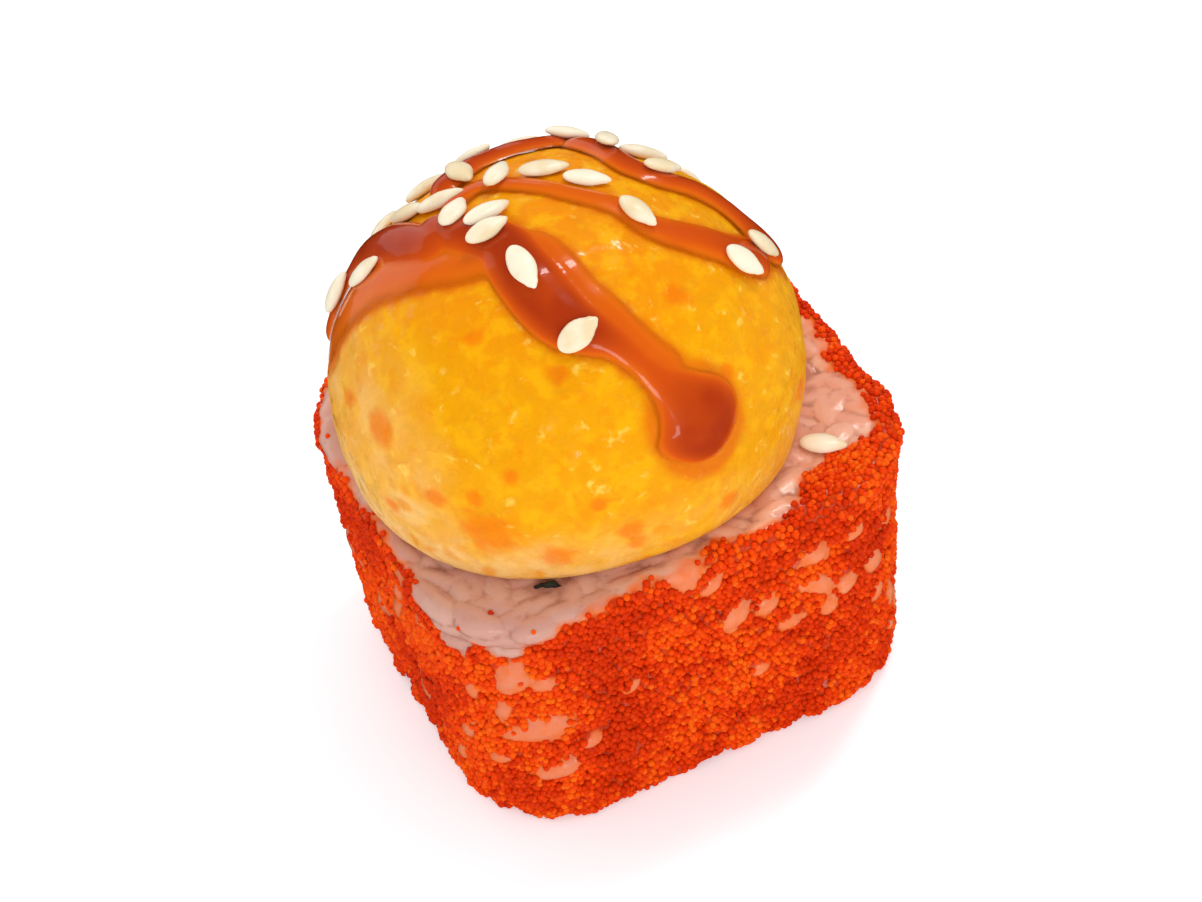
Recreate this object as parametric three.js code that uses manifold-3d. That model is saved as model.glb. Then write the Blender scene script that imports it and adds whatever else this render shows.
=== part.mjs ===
// One piece of a baked inside-out roll, cut face up. A squarish slice of rice is wrapped round a
// sheet of nori and its filling, coated on the outside with fine fish roe, and topped with a plump
// dome of baked sauce that carries thick drizzle and sesame seeds.
//
// Units are millimetres, +Z is up, and the origin is at the middle of the underside. The faces of
// the slice look along X and Y.

import * as THREE from 'three';
import Module from 'manifold-3d';

const wasm = await Module();
wasm.setup();

// ---------------------------------------------------------------------------------------------
// Driving dimensions, in millimetres
// ---------------------------------------------------------------------------------------------

const CLEARANCE = 0.3; // left between two pieces that touch

const ROLL = {
  halfX: 18.0,
  halfY: 16.4,
  corner: 8.8,
  height: 21,
  taper: 0.9, // the slice is this much narrower at its foot, on each side
  foot: { depth: 1.8, height: 3.4 }, // the slumped lower edge
  brim: { depth: 1.1, height: 1.5 }, // the rounded upper edge
  sway: 0.35, // slow waviness of the walls
};

const RICE = { grain: 2.6, relief: 0.35 };

// The roe is far finer than this mesh can show, so the coat has larger bumps in its place.
const ROE = {
  thickness: 0.9,
  clump: 2.6, // width of the bumps
  relief: 0.65,
  bottom: 0.35, // height of the lower edge above the table
  rim: 20.1, // mean height of the ragged upper edge
  ragged: 0.6,
  bare: { share: 0.69, width: 0.06, depth: 1.7 }, // the front corner, where the rice shows
};

const NORI = {
  halfX: 13.7,
  halfY: 12.7,
  corner: 6.4,
  taper: 1.7,
  thickness: 0.5,
  recess: 0.5, // the sheet's cut edge lies this far below the rice
  seam: { share: 0.715, width: 0.02, lift: 0.5 }, // where the sheet's end lies over its start
};

const FILLING = {
  slack: 0.4, // left between the filling and the nori
  recess: 0.2, // the filling's top lies this far below the rice
  lump: 4.5,
  relief: 0.3,
};

const DOME = {
  centre: [-1.9, -0.4],
  halfX: 16.0,
  halfY: 15.0,
  crown: 14.0, // from the widest level up to the top
  belly: 5.8, // from the widest level down to the rice
  drop: 19.0, // depth of the ellipsoid that the belly is the upper part of
  lip: 1.0, // rounding of the lower edge
  sway: 0.3,
};

const SEED = {
  length: 3.3,
  width: 1.9,
  thickness: 1.1,
  sunk: 0.18,
  stations: [[-0.36, 0.68], [-0.05, 1], [0.3, 0.6]], // shares of the length, and of the full width
};

const STREAK = {
  step: 1.8, // between two cross-sections
  sunk: 0.25, // share of the height that lies below the dome's surface
  ends: 1 / 12, // share of the length over which each end swells to its full width
  blunt: 0.12, // how blunt the ends are: 0 is a point, 0.5 is square
};

// Places on the dome are a bearing from +X towards +Y and a tilt from the top, both in degrees.
const DRIZZLE = [
  { // the broad streak down the front, which ends in a drop
    path: [[158, 26], [-177, 22], [-146, 24], [-120, 32], [-103, 40], [-91, 46], [-84, 56], [-77, 69]],
    widths: [3.0, 3.2, 3.6, 3.6, 2.6, 2.0, 2.8, 5.2],
    height: 1.0,
  },
  { // the arm to the left, running down the far side of the dome
    path: [[172, 21], [154, 33], [138, 46], [136, 60], [150, 76]],
    widths: [3.2, 3.6, 3.8, 3.0, 1.6],
    height: 0.9,
  },
  { // the thin streak over the top
    path: [[140, 24], [110, 16], [16, 5], [-46, 20], [-37, 38], [-29, 55]],
    widths: [2.2, 1.8, 1.3, 1.5, 1.8, 2.2],
    height: 0.8,
  },
  { // the streak along the right flank
    path: [[56, 44], [40, 37], [22, 34], [5, 40], [-9, 51], [-19, 66]],
    widths: [2.2, 2.4, 2.4, 2.4, 2.6, 2.8],
    height: 0.9,
  },
  { // the streak over the back
    path: [[125, 32], [110, 35], [88, 40], [60, 43], [72, 58], [84, 72]],
    widths: [2.6, 2.6, 2.6, 2.8, 2.4, 3.0],
    height: 0.9,
  },
];

// Each seed's bearing, tilt and turn on the dome, in degrees.
const DOME_SEEDS = [
  [146, 64, -28], [151, 50, -39], [126, 54, 30], [130, 40, -60], [112, 46, 10], [129, 29, -30],
  [110, 30, -86], [104, 18, 52], [150, 21, 45], [163, 13, 8], [-168, 15, 0], [-125, 22, -89],
  [-103, 39, 17], [-35, 22, -67], [20, 14, -30], [60, 41, -25], [41, 34, 76], [29, 40, -5],
  [8, 33, 7], [78, 43, -30], [95, 41, -30], [-35, 50, -39], [-22, 56, -28],
  [84, 66, 80], [60, 60, 20], [118, 66, -30], [100, 80, 60], [30, 70, 50],
];

const RICE_SEED = { x: 11.6, y: -10.7, turn: -39 };

// ---------------------------------------------------------------------------------------------
// Numbers and noise
// ---------------------------------------------------------------------------------------------

const radians = THREE.MathUtils.degToRad;
const BUMP_REACH = 0.8; // radius of a bump as a share of the distance between bumps

/** A repeatable number from 0 to 1 for a cell of a grid. */
function cellNumber(x, y, z, salt) {
  let hash = Math.imul(x, 374761393) ^ Math.imul(y, 668265263) ^ Math.imul(z, 2147483647);
  hash = Math.imul(hash ^ (salt + 1), 1274126177);
  hash = Math.imul(hash ^ (hash >>> 13), 1103515245);
  return ((hash ^ (hash >>> 16)) >>> 0) / 4294967296;
}

/** Rounded bumps about `size` across: 1 at their tops and 0 in the creases between them. */
function bumps(point, size, salt) {
  const cell = [point.x, point.y, point.z].map((value) => Math.floor(value / size));
  let nearest = Infinity;
  for (let dx = -1; dx <= 1; dx += 1) {
    for (let dy = -1; dy <= 1; dy += 1) {
      for (let dz = -1; dz <= 1; dz += 1) {
        const [x, y, z] = [cell[0] + dx, cell[1] + dy, cell[2] + dz];
        const middle = new THREE.Vector3(
          (x + cellNumber(x, y, z, salt)) * size,
          (y + cellNumber(x, y, z, salt + 1)) * size,
          (z + cellNumber(x, y, z, salt + 2)) * size,
        );
        nearest = Math.min(nearest, middle.distanceTo(point));
      }
    }
  }
  return Math.max(0, 1 - (nearest / (BUMP_REACH * size)) ** 2);
}

/** A slow wave round a closed outline, from about -1 to 1. */
function sway(share, z, phase) {
  const turn = 2 * Math.PI * share;
  const slow = Math.sin(2 * turn + phase + 0.09 * z);
  const quick = Math.sin(5 * turn + 2.3 * phase - 0.16 * z);
  return 0.6 * slow + 0.4 * quick;
}

// ---------------------------------------------------------------------------------------------
// Outlines
// ---------------------------------------------------------------------------------------------

/** A point on a rounded rectangle, `share` of the way round from the +X side, moved in by `inset`. */
function roundedRectangle(shape, share, inset) {
  const arc = (Math.PI / 2) * shape.corner;
  const half = [shape.halfY - shape.corner, shape.halfX - shape.corner];
  const reach = [shape.halfX, shape.halfY];
  let distance = share * (4 * (half[0] + half[1]) + 4 * arc);
  for (let side = 0; side < 4; side += 1) {
    const straight = half[side % 2];
    const turn = (side * Math.PI) / 2;
    const corner = new THREE.Vector2(reach[side % 2] - shape.corner, straight);
    if (distance <= 2 * straight) {
      const point = new THREE.Vector2(reach[side % 2] - inset, distance - straight);
      return point.rotateAround(new THREE.Vector2(), turn);
    }
    distance -= 2 * straight;
    if (distance <= arc || side === 3) {
      const angle = distance / shape.corner;
      const radius = shape.corner - inset;
      corner.add(new THREE.Vector2(radius * Math.cos(angle), radius * Math.sin(angle)));
      return corner.rotateAround(new THREE.Vector2(), turn);
    }
    distance -= arc;
  }
  return null;
}

/** How far an edge rounded over `round.height` falls back, `rise` from its end. */
function rounding(round, rise) {
  const share = THREE.MathUtils.clamp(1 - rise / round.height, 0, 1);
  return round.depth * (1 - Math.sqrt(1 - share * share));
}

/** A point on the roll's outer wall at height z, moved in by `inset`. */
function rollPoint(share, z, inset) {
  const lean = ROLL.taper * (1 - z / ROLL.height);
  const edges = rounding(ROLL.foot, z) + rounding(ROLL.brim, ROLL.height - z);
  const wave = ROLL.sway * (1 + sway(share, z, 0.7)) / 2;
  const point = roundedRectangle(ROLL, share, inset + lean + edges + wave);
  return new THREE.Vector3(point.x, point.y, z);
}

/** A point on the nori's outer face at height z, moved in by `inset`. */
function noriPoint(share, z, inset) {
  const lean = NORI.taper * (1 - z / ROLL.height);
  const seam = NORI.seam.lift * Math.exp(-(((share - NORI.seam.share) / NORI.seam.width) ** 2));
  const point = roundedRectangle(NORI, share, inset + lean - seam);
  return new THREE.Vector3(point.x, point.y, z);
}

// ---------------------------------------------------------------------------------------------
// Closed skins
// ---------------------------------------------------------------------------------------------

/** A ring of points, `place(share)` for each of `count` even shares of the way round. */
function ring(count, place) {
  return Array.from({ length: count }, (unused, index) => place(index / count));
}

/**
 * One closed geometry from rings of equal length, each counter-clockwise about the body's axis.
 * Without `ends` the last ring joins the first, which makes a tube. With `ends`, two points, the
 * rings run from the first end to the second.
 */
function skin(rings, ends) {
  const count = rings[0].length;
  const points = rings.flat();
  const triangles = [];
  const last = ends ? rings.length - 1 : rings.length;
  for (let row = 0; row < last; row += 1) {
    const lower = row * count;
    const upper = ((row + 1) % rings.length) * count;
    for (let column = 0; column < count; column += 1) {
      const next = (column + 1) % count;
      triangles.push(lower + column, lower + next, upper + next);
      triangles.push(lower + column, upper + next, upper + column);
    }
  }
  if (ends) {
    const first = points.push(ends[0]) - 1;
    const second = points.push(ends[1]) - 1;
    const top = (rings.length - 1) * count;
    for (let column = 0; column < count; column += 1) {
      const next = (column + 1) % count;
      triangles.push(first, next, column, second, top + column, top + next);
    }
  }
  const geometry = new THREE.BufferGeometry().setFromPoints(points);
  geometry.setIndex(triangles);
  geometry.computeVertexNormals();
  return geometry;
}

/** The solid of a closed geometry whose triangles share their vertices. */
function toSolid(geometry) {
  return new wasm.Manifold(new wasm.Mesh({
    numProp: 3,
    vertProperties: new Float32Array(geometry.getAttribute('position').array),
    triVerts: new Uint32Array(geometry.getIndex().array),
  }));
}

/** The geometry of a solid. */
function toGeometry(solid) {
  const mesh = solid.getMesh();
  const geometry = new THREE.BufferGeometry();
  geometry.setAttribute('position', new THREE.BufferAttribute(mesh.vertProperties, 3));
  geometry.setIndex(new THREE.BufferAttribute(mesh.triVerts, 1));
  geometry.computeVertexNormals();
  return geometry;
}

/** One geometry made of a body and everything that is fused to it. */
function fuse(body, additions) {
  return toGeometry(additions.reduce((solid, item) => solid.add(toSolid(item)), toSolid(body)));
}

// ---------------------------------------------------------------------------------------------
// Sesame seeds
// ---------------------------------------------------------------------------------------------

const SEED_SIDES = 6;

/** A flat teardrop of a seed that lies at `point`, square to `normal` and with its tip `along`. */
function seed(point, normal, along) {
  const across = new THREE.Vector3().crossVectors(normal, along).normalize();
  const middle = point.clone().addScaledVector(normal, SEED.thickness / 2 - SEED.sunk);
  const axis = (share) => middle.clone().addScaledVector(along, share * SEED.length);
  const rings = SEED.stations.map(([share, fullness]) => ring(SEED_SIDES, (turn) => {
    const angle = 2 * Math.PI * turn;
    return axis(share)
      .addScaledVector(across, (fullness * SEED.width * Math.cos(angle)) / 2)
      .addScaledVector(normal, (fullness * SEED.thickness * Math.sin(angle)) / 2);
  }));
  return skin(rings, [axis(-0.5), axis(0.5)]);
}

// ---------------------------------------------------------------------------------------------
// Rice
// ---------------------------------------------------------------------------------------------

const COLUMNS = 96; // round the rice, its coat and the nori, so that their gaps stay even
const WALL_LEVELS = [0, 0.5, 1.6, 3.2, 12, 19.5, 20.3]; // heights of the rings up the rice's wall
const RICE_NOISE = 11;

/** The same points, each lowered where it lies in a crease between bumps. */
function creased(points, size, relief, salt) {
  return points.map((point) => {
    const fall = relief * (1 - bumps(point, size, salt));
    return point.clone().setZ(point.z - fall);
  });
}

/** The rice: a slice with the nori's hole down its middle, grainy on its upper face. */
function riceGeometry() {
  const wall = (z) => ring(COLUMNS, (share) => rollPoint(share, z, ROE.thickness + CLEARANCE));
  const hole = (z) => ring(COLUMNS, (share) => noriPoint(share, z, -CLEARANCE));
  const between = (from, to, share) => from.map((point, i) => point.clone().lerp(to[i], share));

  const outer = WALL_LEVELS.map(wall);
  const inner = [ROLL.height, ROLL.height / 2, 0].map(hole);
  const upper = [0, 0.35, 0.7].map((share) => creased(
    between(wall(ROLL.height), inner[0], share),
    RICE.grain,
    RICE.relief,
    RICE_NOISE,
  ));
  const under = between(inner[2], outer[0], 0.5);
  const body = skin([...outer, ...upper, ...inner, under]);

  const up = new THREE.Vector3(0, 0, 1);
  const along = new THREE.Vector3(1, 0, 0).applyAxisAngle(up, radians(RICE_SEED.turn));
  const spot = new THREE.Vector3(RICE_SEED.x, RICE_SEED.y, ROLL.height - RICE.relief / 2);
  return fuse(body, [seed(spot, up, along)]);
}

// ---------------------------------------------------------------------------------------------
// Roe coat
// ---------------------------------------------------------------------------------------------

const ROE_ROWS = 13;
const ROE_INNER_ROWS = [1, 0.94, 0.55, 0.12, 0]; // shares of the coat's height, from its rim down
const ROE_NOISE = 5;

/** Height of the coat's ragged upper edge. */
function roeRim(share) {
  const dip = ROE.bare.depth * Math.exp(-(((share - ROE.bare.share) / ROE.bare.width) ** 2));
  return ROE.rim + ROE.ragged * sway(3 * share, 0, 1.9) - dip;
}

/** The coat of roe: a bumpy wall round the rice, with a ragged upper edge. */
function roeGeometry() {
  const level = (share, rise) => THREE.MathUtils.lerp(ROE.bottom, roeRim(share), rise);
  const outer = [];
  for (let row = 0; row <= ROE_ROWS; row += 1) {
    outer.push(ring(COLUMNS, (share) => {
      const z = level(share, row / ROE_ROWS);
      const crease = rollPoint(share, z, ROE.relief);
      return rollPoint(share, z, ROE.relief * (1 - bumps(crease, ROE.clump, ROE_NOISE)));
    }));
  }
  const inner = ROE_INNER_ROWS.map((rise) => ring(COLUMNS, (share) => (
    rollPoint(share, level(share, rise), ROE.thickness)
  )));
  return skin([...outer, ...inner]);
}

// ---------------------------------------------------------------------------------------------
// Nori and filling
// ---------------------------------------------------------------------------------------------

const FILLING_COLUMNS = 48;
const FILLING_NOISE = 31;

/** The sheet of nori: a thin tube through the whole slice. */
function noriGeometry() {
  const face = (z, inset) => ring(COLUMNS, (share) => noriPoint(share, z, inset));
  const levels = [0, ROLL.height / 2, ROLL.height - NORI.recess];
  const outer = levels.map((z) => face(z, 0));
  const inner = levels.map((z) => face(z, NORI.thickness)).reverse();
  return skin([...outer, ...inner]);
}

/** The filling: one plain core through the whole slice, flat below and lumpy above. */
function fillingGeometry() {
  const top = ROLL.height - FILLING.recess;
  const face = (z, shrink) => ring(FILLING_COLUMNS, (share) => {
    const edge = noriPoint(share, z, NORI.thickness + FILLING.slack);
    return new THREE.Vector3(edge.x * shrink, edge.y * shrink, z);
  });
  const lumpy = (points) => creased(points, FILLING.lump, FILLING.relief, FILLING_NOISE);
  const wall = [0, ROLL.height / 2, top].map((z) => face(z, 1));
  const rings = [face(0, 0.5), ...wall, lumpy(face(top, 0.7)), lumpy(face(top, 0.35))];
  return skin(rings, [new THREE.Vector3(0, 0, 0), new THREE.Vector3(0, 0, top)]);
}

// ---------------------------------------------------------------------------------------------
// Baked topping
// ---------------------------------------------------------------------------------------------

const DOME_COLUMNS = 50;
const DOME_ROWS = 14;
const STREAK_SIDES = 8;
const STREAK_SAMPLES = 40;
const DOME_BASE = ROLL.height + CLEARANCE;
const DOME_MIDDLE = new THREE.Vector3(DOME.centre[0], DOME.centre[1], DOME_BASE + DOME.belly);

/** The direction of a bearing and a tilt on the dome, before it is stretched to its size. */
function direction(bearing, tilt) {
  return new THREE.Vector3().setFromSphericalCoords(1, radians(tilt), radians(bearing + 90))
    .applyAxisAngle(new THREE.Vector3(1, 0, 0), Math.PI / 2);
}

/** The dome's reach along X, Y and Z: it is taller above its widest level than its belly is deep. */
function domeSize(unit) {
  return new THREE.Vector3(DOME.halfX, DOME.halfY, unit.z > 0 ? DOME.crown : DOME.drop);
}

/** A point on the dome in an unstretched direction, raised by `lift`. */
function domePoint(unit, lift = 0) {
  const size = domeSize(unit);
  const turn = Math.atan2(unit.y, unit.x) / (2 * Math.PI);
  const flank = Math.hypot(unit.x, unit.y);
  const swell = 1 + (DOME.sway / DOME.halfX) * flank * sway(turn, 20 * unit.z, 2.6);
  const point = unit.clone().multiply(size).multiplyScalar(swell).add(DOME_MIDDLE);
  return point.addScaledVector(domeNormal(unit), lift);
}

/** The outward normal of the dome in an unstretched direction. */
function domeNormal(unit) {
  return unit.clone().divide(domeSize(unit)).normalize();
}

/** Tilt, in degrees, of the level that lies `fall` below the dome's widest level. */
function tiltBelow(fall) {
  return THREE.MathUtils.radToDeg(Math.acos(-fall / DOME.drop));
}

/** The plain dome, from its flat underside over the lip and the belly to the crown. */
function domeBody() {
  const lowest = tiltBelow(DOME.belly);
  const lip = tiltBelow(DOME.belly - DOME.lip);
  const level = (tilt) => ring(DOME_COLUMNS, (share) => domePoint(direction(360 * share, tilt)));
  const middle = new THREE.Vector3(DOME_MIDDLE.x, DOME_MIDDLE.y, DOME_BASE);
  const flat = (shrink) => level(lowest).map((point) => (
    middle.clone().lerp(point.setZ(DOME_BASE), shrink)
  ));
  const rings = [flat(0.55), flat(0.93), level((lowest + lip) / 2)];
  for (let row = 0; row < DOME_ROWS; row += 1) {
    rings.push(level(lip * (1 - row / DOME_ROWS)));
  }
  return skin(rings, [middle, domePoint(direction(0, 0))]);
}

/** A streak's route over the dome, as unstretched directions, and its width along it. */
function streakCurves(path, widths) {
  return {
    route: new THREE.CatmullRomCurve3(path.map(([bearing, tilt]) => direction(bearing, tilt))),
    size: new THREE.CatmullRomCurve3(widths.map((width) => new THREE.Vector3(width, 0, 0))),
  };
}

/** How full a streak is at a share of its length: 1, but rounded off near both of its ends. */
function streakEase(share) {
  const fromEnd = Math.min(share, 1 - share) / (2 * STREAK.ends);
  return Math.sin(Math.PI * THREE.MathUtils.clamp(fromEnd, STREAK.blunt, 0.5));
}

/** A streak of thick sauce that lies on the dome. */
function drizzle({ path, widths, height }) {
  const { route, size } = streakCurves(path, widths);
  const steps = Math.ceil((route.getLength() * DOME.halfX) / STREAK.step);
  const at = (share) => route.getPoint(THREE.MathUtils.clamp(share, 0, 1)).normalize();
  const core = (share) => domePoint(at(share), -STREAK.sunk * height);
  const section = (share) => {
    const normal = domeNormal(at(share));
    const ahead = core(share + 0.01).sub(core(share - 0.01));
    const across = new THREE.Vector3().crossVectors(normal, ahead).normalize();
    const ease = streakEase(share);
    const half = (size.getPoint(share).x / 2) * ease;
    return ring(STREAK_SIDES, (turn) => {
      const angle = 2 * Math.PI * turn;
      return core(share)
        .addScaledVector(across, half * Math.cos(angle))
        .addScaledVector(normal, height * ease * Math.sin(angle));
    });
  };
  const rings = Array.from({ length: steps + 1 }, (unused, step) => section(step / steps));
  return skin(rings, [core(0), core(1)]);
}

/** How deep the sauce lies at a direction on the dome: 0 off the streaks. */
function sauceDepth(unit) {
  const point = domePoint(unit);
  let depth = 0;
  for (const { path, widths, height } of DRIZZLE) {
    const { route, size } = streakCurves(path, widths);
    for (let step = 0; step <= STREAK_SAMPLES; step += 1) {
      const share = step / STREAK_SAMPLES;
      const ease = streakEase(share);
      const half = (size.getPoint(share).x / 2) * ease;
      const away = domePoint(route.getPoint(share).normalize()).distanceTo(point) / half;
      const rise = ease * Math.sqrt(Math.max(0, 1 - away * away));
      depth = Math.max(depth, height * (rise - STREAK.sunk));
    }
  }
  return depth;
}

/** A seed on the dome, or on the sauce that covers the dome there. */
function domeSeed([bearing, tilt, turn]) {
  const unit = direction(bearing, tilt);
  const normal = domeNormal(unit);
  const level = new THREE.Vector3(1, 0, 0).projectOnPlane(normal).normalize();
  const along = level.applyAxisAngle(normal, radians(turn));
  return seed(domePoint(unit, sauceDepth(unit)), normal, along);
}

/** The baked topping, with its drizzle and its seeds fused on. */
function toppingGeometry() {
  return fuse(domeBody(), [...DRIZZLE.map(drizzle), ...DOME_SEEDS.map(domeSeed)]);
}

// ---------------------------------------------------------------------------------------------
// The whole piece
// ---------------------------------------------------------------------------------------------

/** A named mesh with its own material. */
function layer(name, geometry, color, roughness) {
  const material = new THREE.MeshStandardMaterial({ color, roughness, metalness: 0 });
  const mesh = new THREE.Mesh(geometry, material);
  mesh.name = name;
  return mesh;
}

const roll = new THREE.Group();
roll.add(
  layer('rice', riceGeometry(), 0xe7b392, 0.55),
  layer('roe_coat', roeGeometry(), 0xe2420c, 0.35),
  layer('nori', noriGeometry(), 0x1f2419, 0.5),
  layer('filling', fillingGeometry(), 0xf0dcc4, 0.6),
  layer('baked_topping', toppingGeometry(), 0xf4a60a, 0.4),
);

export default roll;
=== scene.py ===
"""Looks of one piece of a baked inside-out roll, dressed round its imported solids.

Everything is in metres, in the frame of the solids: +Z is up and the origin is at the middle of
the underside. The rice and its coat of roe are rebuilt from single grains and beads, and the
baked topping as a fine dome with its drizzle and its sesame seeds. Slivers of nori stand out of
the rice. The nori and the filling keep their solids and get materials.
"""

import logging
import math
from collections.abc import Callable, Iterable, Sequence
from dataclasses import dataclass, field
from enum import Enum
from typing import Any

import bmesh
import bpy
import numpy as np
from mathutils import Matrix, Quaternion, Vector, noise
from mathutils.bvhtree import BVHTree


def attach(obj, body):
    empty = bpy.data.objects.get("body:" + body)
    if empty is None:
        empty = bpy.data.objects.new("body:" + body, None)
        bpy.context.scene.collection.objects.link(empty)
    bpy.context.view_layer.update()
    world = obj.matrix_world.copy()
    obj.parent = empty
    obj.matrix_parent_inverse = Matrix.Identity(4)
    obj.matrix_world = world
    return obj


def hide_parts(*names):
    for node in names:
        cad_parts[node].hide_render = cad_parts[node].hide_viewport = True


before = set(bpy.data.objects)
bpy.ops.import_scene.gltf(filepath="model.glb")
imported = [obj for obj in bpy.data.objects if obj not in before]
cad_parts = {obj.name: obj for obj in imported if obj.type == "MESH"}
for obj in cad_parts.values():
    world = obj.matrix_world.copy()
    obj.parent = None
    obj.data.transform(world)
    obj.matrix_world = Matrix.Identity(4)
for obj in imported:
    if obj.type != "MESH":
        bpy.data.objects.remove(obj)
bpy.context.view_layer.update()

LOG = logging.getLogger("roll")
MM = 0.001
BODY = "root"
Array = np.ndarray
Colour = tuple[float, float, float, float]


# ------------------------------------------------------------------------------------------------
# Shader maths
# ------------------------------------------------------------------------------------------------


def paint(code: str) -> Colour:
    """Turns a hex colour into the linear values that shaders use.

    Args:
        code: a colour such as "#f4a903".

    Returns:
        Its linear red, green, blue and an alpha of 1.
    """
    shares = [int(code[place:place + 2], 16) / 255 for place in (1, 3, 5)]
    red, green, blue = (
        share / 12.92 if share <= 0.04045 else ((share + 0.055) / 1.055) ** 2.4 for share in shares
    )
    return red, green, blue, 1.0


class Value:
    """A shader socket that takes part in Python arithmetic."""

    def __init__(self, graph: "Graph", socket: bpy.types.NodeSocket) -> None:
        """Keeps the socket and the graph that new nodes go in."""
        self.graph = graph
        self.socket = socket

    def _math(self, operation: str, first: "Number", second: "Number") -> "Value":
        """Adds a Math node that works on two values."""
        return self.graph.node("ShaderNodeMath", {"operation": operation}, {0: first, 1: second})

    def __add__(self, other: "Number") -> "Value":
        """This value plus another."""
        return self._math("ADD", self, other)

    def __radd__(self, other: "Number") -> "Value":
        """Another value plus this one."""
        return self._math("ADD", other, self)

    def __sub__(self, other: "Number") -> "Value":
        """This value less another."""
        return self._math("SUBTRACT", self, other)

    def __rsub__(self, other: "Number") -> "Value":
        """Another value less this one."""
        return self._math("SUBTRACT", other, self)

    def __mul__(self, other: "Number") -> "Value":
        """This value times another."""
        return self._math("MULTIPLY", self, other)

    def __rmul__(self, other: "Number") -> "Value":
        """Another value times this one."""
        return self._math("MULTIPLY", other, self)


Number = Value | float


class Graph:
    """The shader nodes of one material."""

    def __init__(self, name: str) -> None:
        """Starts an empty material.

        Args:
            name: the material's name.
        """
        self.material = bpy.data.materials.new(name)
        self.material.use_nodes = True
        self.tree = self.material.node_tree
        self.tree.nodes.clear()

    def node(
        self,
        kind: str,
        settings: dict[str, Any] | None = None,
        sockets: dict[str | int, Any] | None = None,
        output: str | int = 0,
    ) -> Value:
        """Adds a node of any kind.

        Args:
            kind: the node's type.
            settings: its own settings, which are set first; "stops" are a ramp's colours.
            sockets: a value or a link for each input, by name or number.
            output: the output that is wanted.

        Returns:
            That output.
        """
        made = self.tree.nodes.new(kind)
        for name, setting in (settings or {}).items():
            if name == "stops":
                self._fill_ramp(made.color_ramp, setting)
            else:
                setattr(made, name, setting)
        for name, content in (sockets or {}).items():
            if isinstance(content, Value):
                self.tree.links.new(content.socket, made.inputs[name])
            else:
                made.inputs[name].default_value = content
        return Value(self, made.outputs[output])

    @staticmethod
    def _fill_ramp(ramp: bpy.types.ColorRamp, stops: Sequence[tuple[float, str]]) -> None:
        """Gives a ramp its stops.

        Args:
            ramp: the ramp.
            stops: each a place from 0 to 1 and a hex colour.
        """
        while len(ramp.elements) < len(stops):
            ramp.elements.new(1.0)
        for element, (place, code) in zip(ramp.elements, stops):
            element.position = place
            element.color = paint(code)

    def place(self, stretch: tuple[float, float, float] = (1.0, 1.0, 1.0)) -> Value:
        """The point on the object, with each axis stretched."""
        point = self.node("ShaderNodeTexCoord", output="Object")
        return self.node("ShaderNodeVectorMath", {"operation": "MULTIPLY"}, {0: point, 1: stretch})

    def along(self, axis: str) -> Value:
        """How far along X, Y or Z the point lies."""
        return self.node("ShaderNodeSeparateXYZ", sockets={0: self.place()}, output=axis)

    def attribute(self, name: str) -> Value:
        """A number that the mesh holds for each of its points."""
        return self.node("ShaderNodeAttribute", {"attribute_name": name}, output="Fac")

    def noise(self, place: Value, size: float, detail: float = 2.0) -> Value:
        """Cloudy noise from 0 to 1 with features about `size` metres across."""
        sockets = {"Vector": place, "Scale": 1 / size, "Detail": detail}
        return self.node("ShaderNodeTexNoise", sockets=sockets, output="Fac")

    def cells(self, place: Value, size: float) -> Value:
        """Distance to the nearest of many points `size` metres apart, from 0 to about 1."""
        sockets = {"Vector": place, "Scale": 1 / size}
        return self.node("ShaderNodeTexVoronoi", sockets=sockets, output="Distance")

    def stirred(self, place: Value, size: float, reach: float) -> Value:
        """The same points, moved about by noise so that a pattern on them turns ragged.

        Args:
            place: the points.
            size: how far apart the noise's features lie.
            reach: how far it moves a point at most.

        Returns:
            The moved points.
        """
        cloud = {"Vector": place, "Scale": 1 / size}
        drift = self.node("ShaderNodeTexNoise", sockets=cloud, output="Color")
        middle = self.node(
            "ShaderNodeVectorMath", {"operation": "SUBTRACT"}, {0: drift, 1: (0.5, 0.5, 0.5)}
        )
        push = self.node("ShaderNodeVectorMath", {"operation": "SCALE"}, {0: middle, 3: 4 * reach})
        return self.node("ShaderNodeVectorMath", {"operation": "ADD"}, {0: place, 1: push})

    def step(self, value: Value, low: float, high: float) -> Value:
        """A smooth step from 0 at `low` to 1 at `high`."""
        sockets = {"Value": value, "From Min": low, "From Max": high}
        return self.node(
            "ShaderNodeMapRange", {"interpolation_type": "SMOOTHSTEP"}, sockets, "Result"
        )

    def ramp(self, value: Value, *stops: tuple[float, str]) -> Value:
        """A colour picked from stops by a value."""
        return self.node("ShaderNodeValToRGB", {"stops": stops}, {"Fac": value}, "Color")

    def mix(self, first: Value | str, second: Value | str, share: Number) -> Value:
        """Mixes two colours.

        Args:
            first: a colour, as nodes or in hex.
            second: another.
            share: how much of the second shows, from 0 to 1.

        Returns:
            The mixed colour.
        """
        colours = [paint(item) if isinstance(item, str) else item for item in (first, second)]
        sockets = {0: share, 6: colours[0], 7: colours[1]}
        return self.node("ShaderNodeMix", {"data_type": "RGBA"}, sockets, output=2)

    def bump(self, height: Value, distance: float, under: Value | None = None) -> Value:
        """Turns a pattern into bumps.

        Args:
            height: a pattern from 0 to 1.
            distance: how many metres high its bumps are.
            under: the normal of the surface that they lie on, if it has bumps itself.

        Returns:
            The surface's normal.
        """
        sockets: dict[str | int, Any] = {"Height": height, "Distance": distance}
        if under is not None:
            sockets["Normal"] = under
        return self.node("ShaderNodeBump", sockets=sockets, output="Normal")

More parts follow.
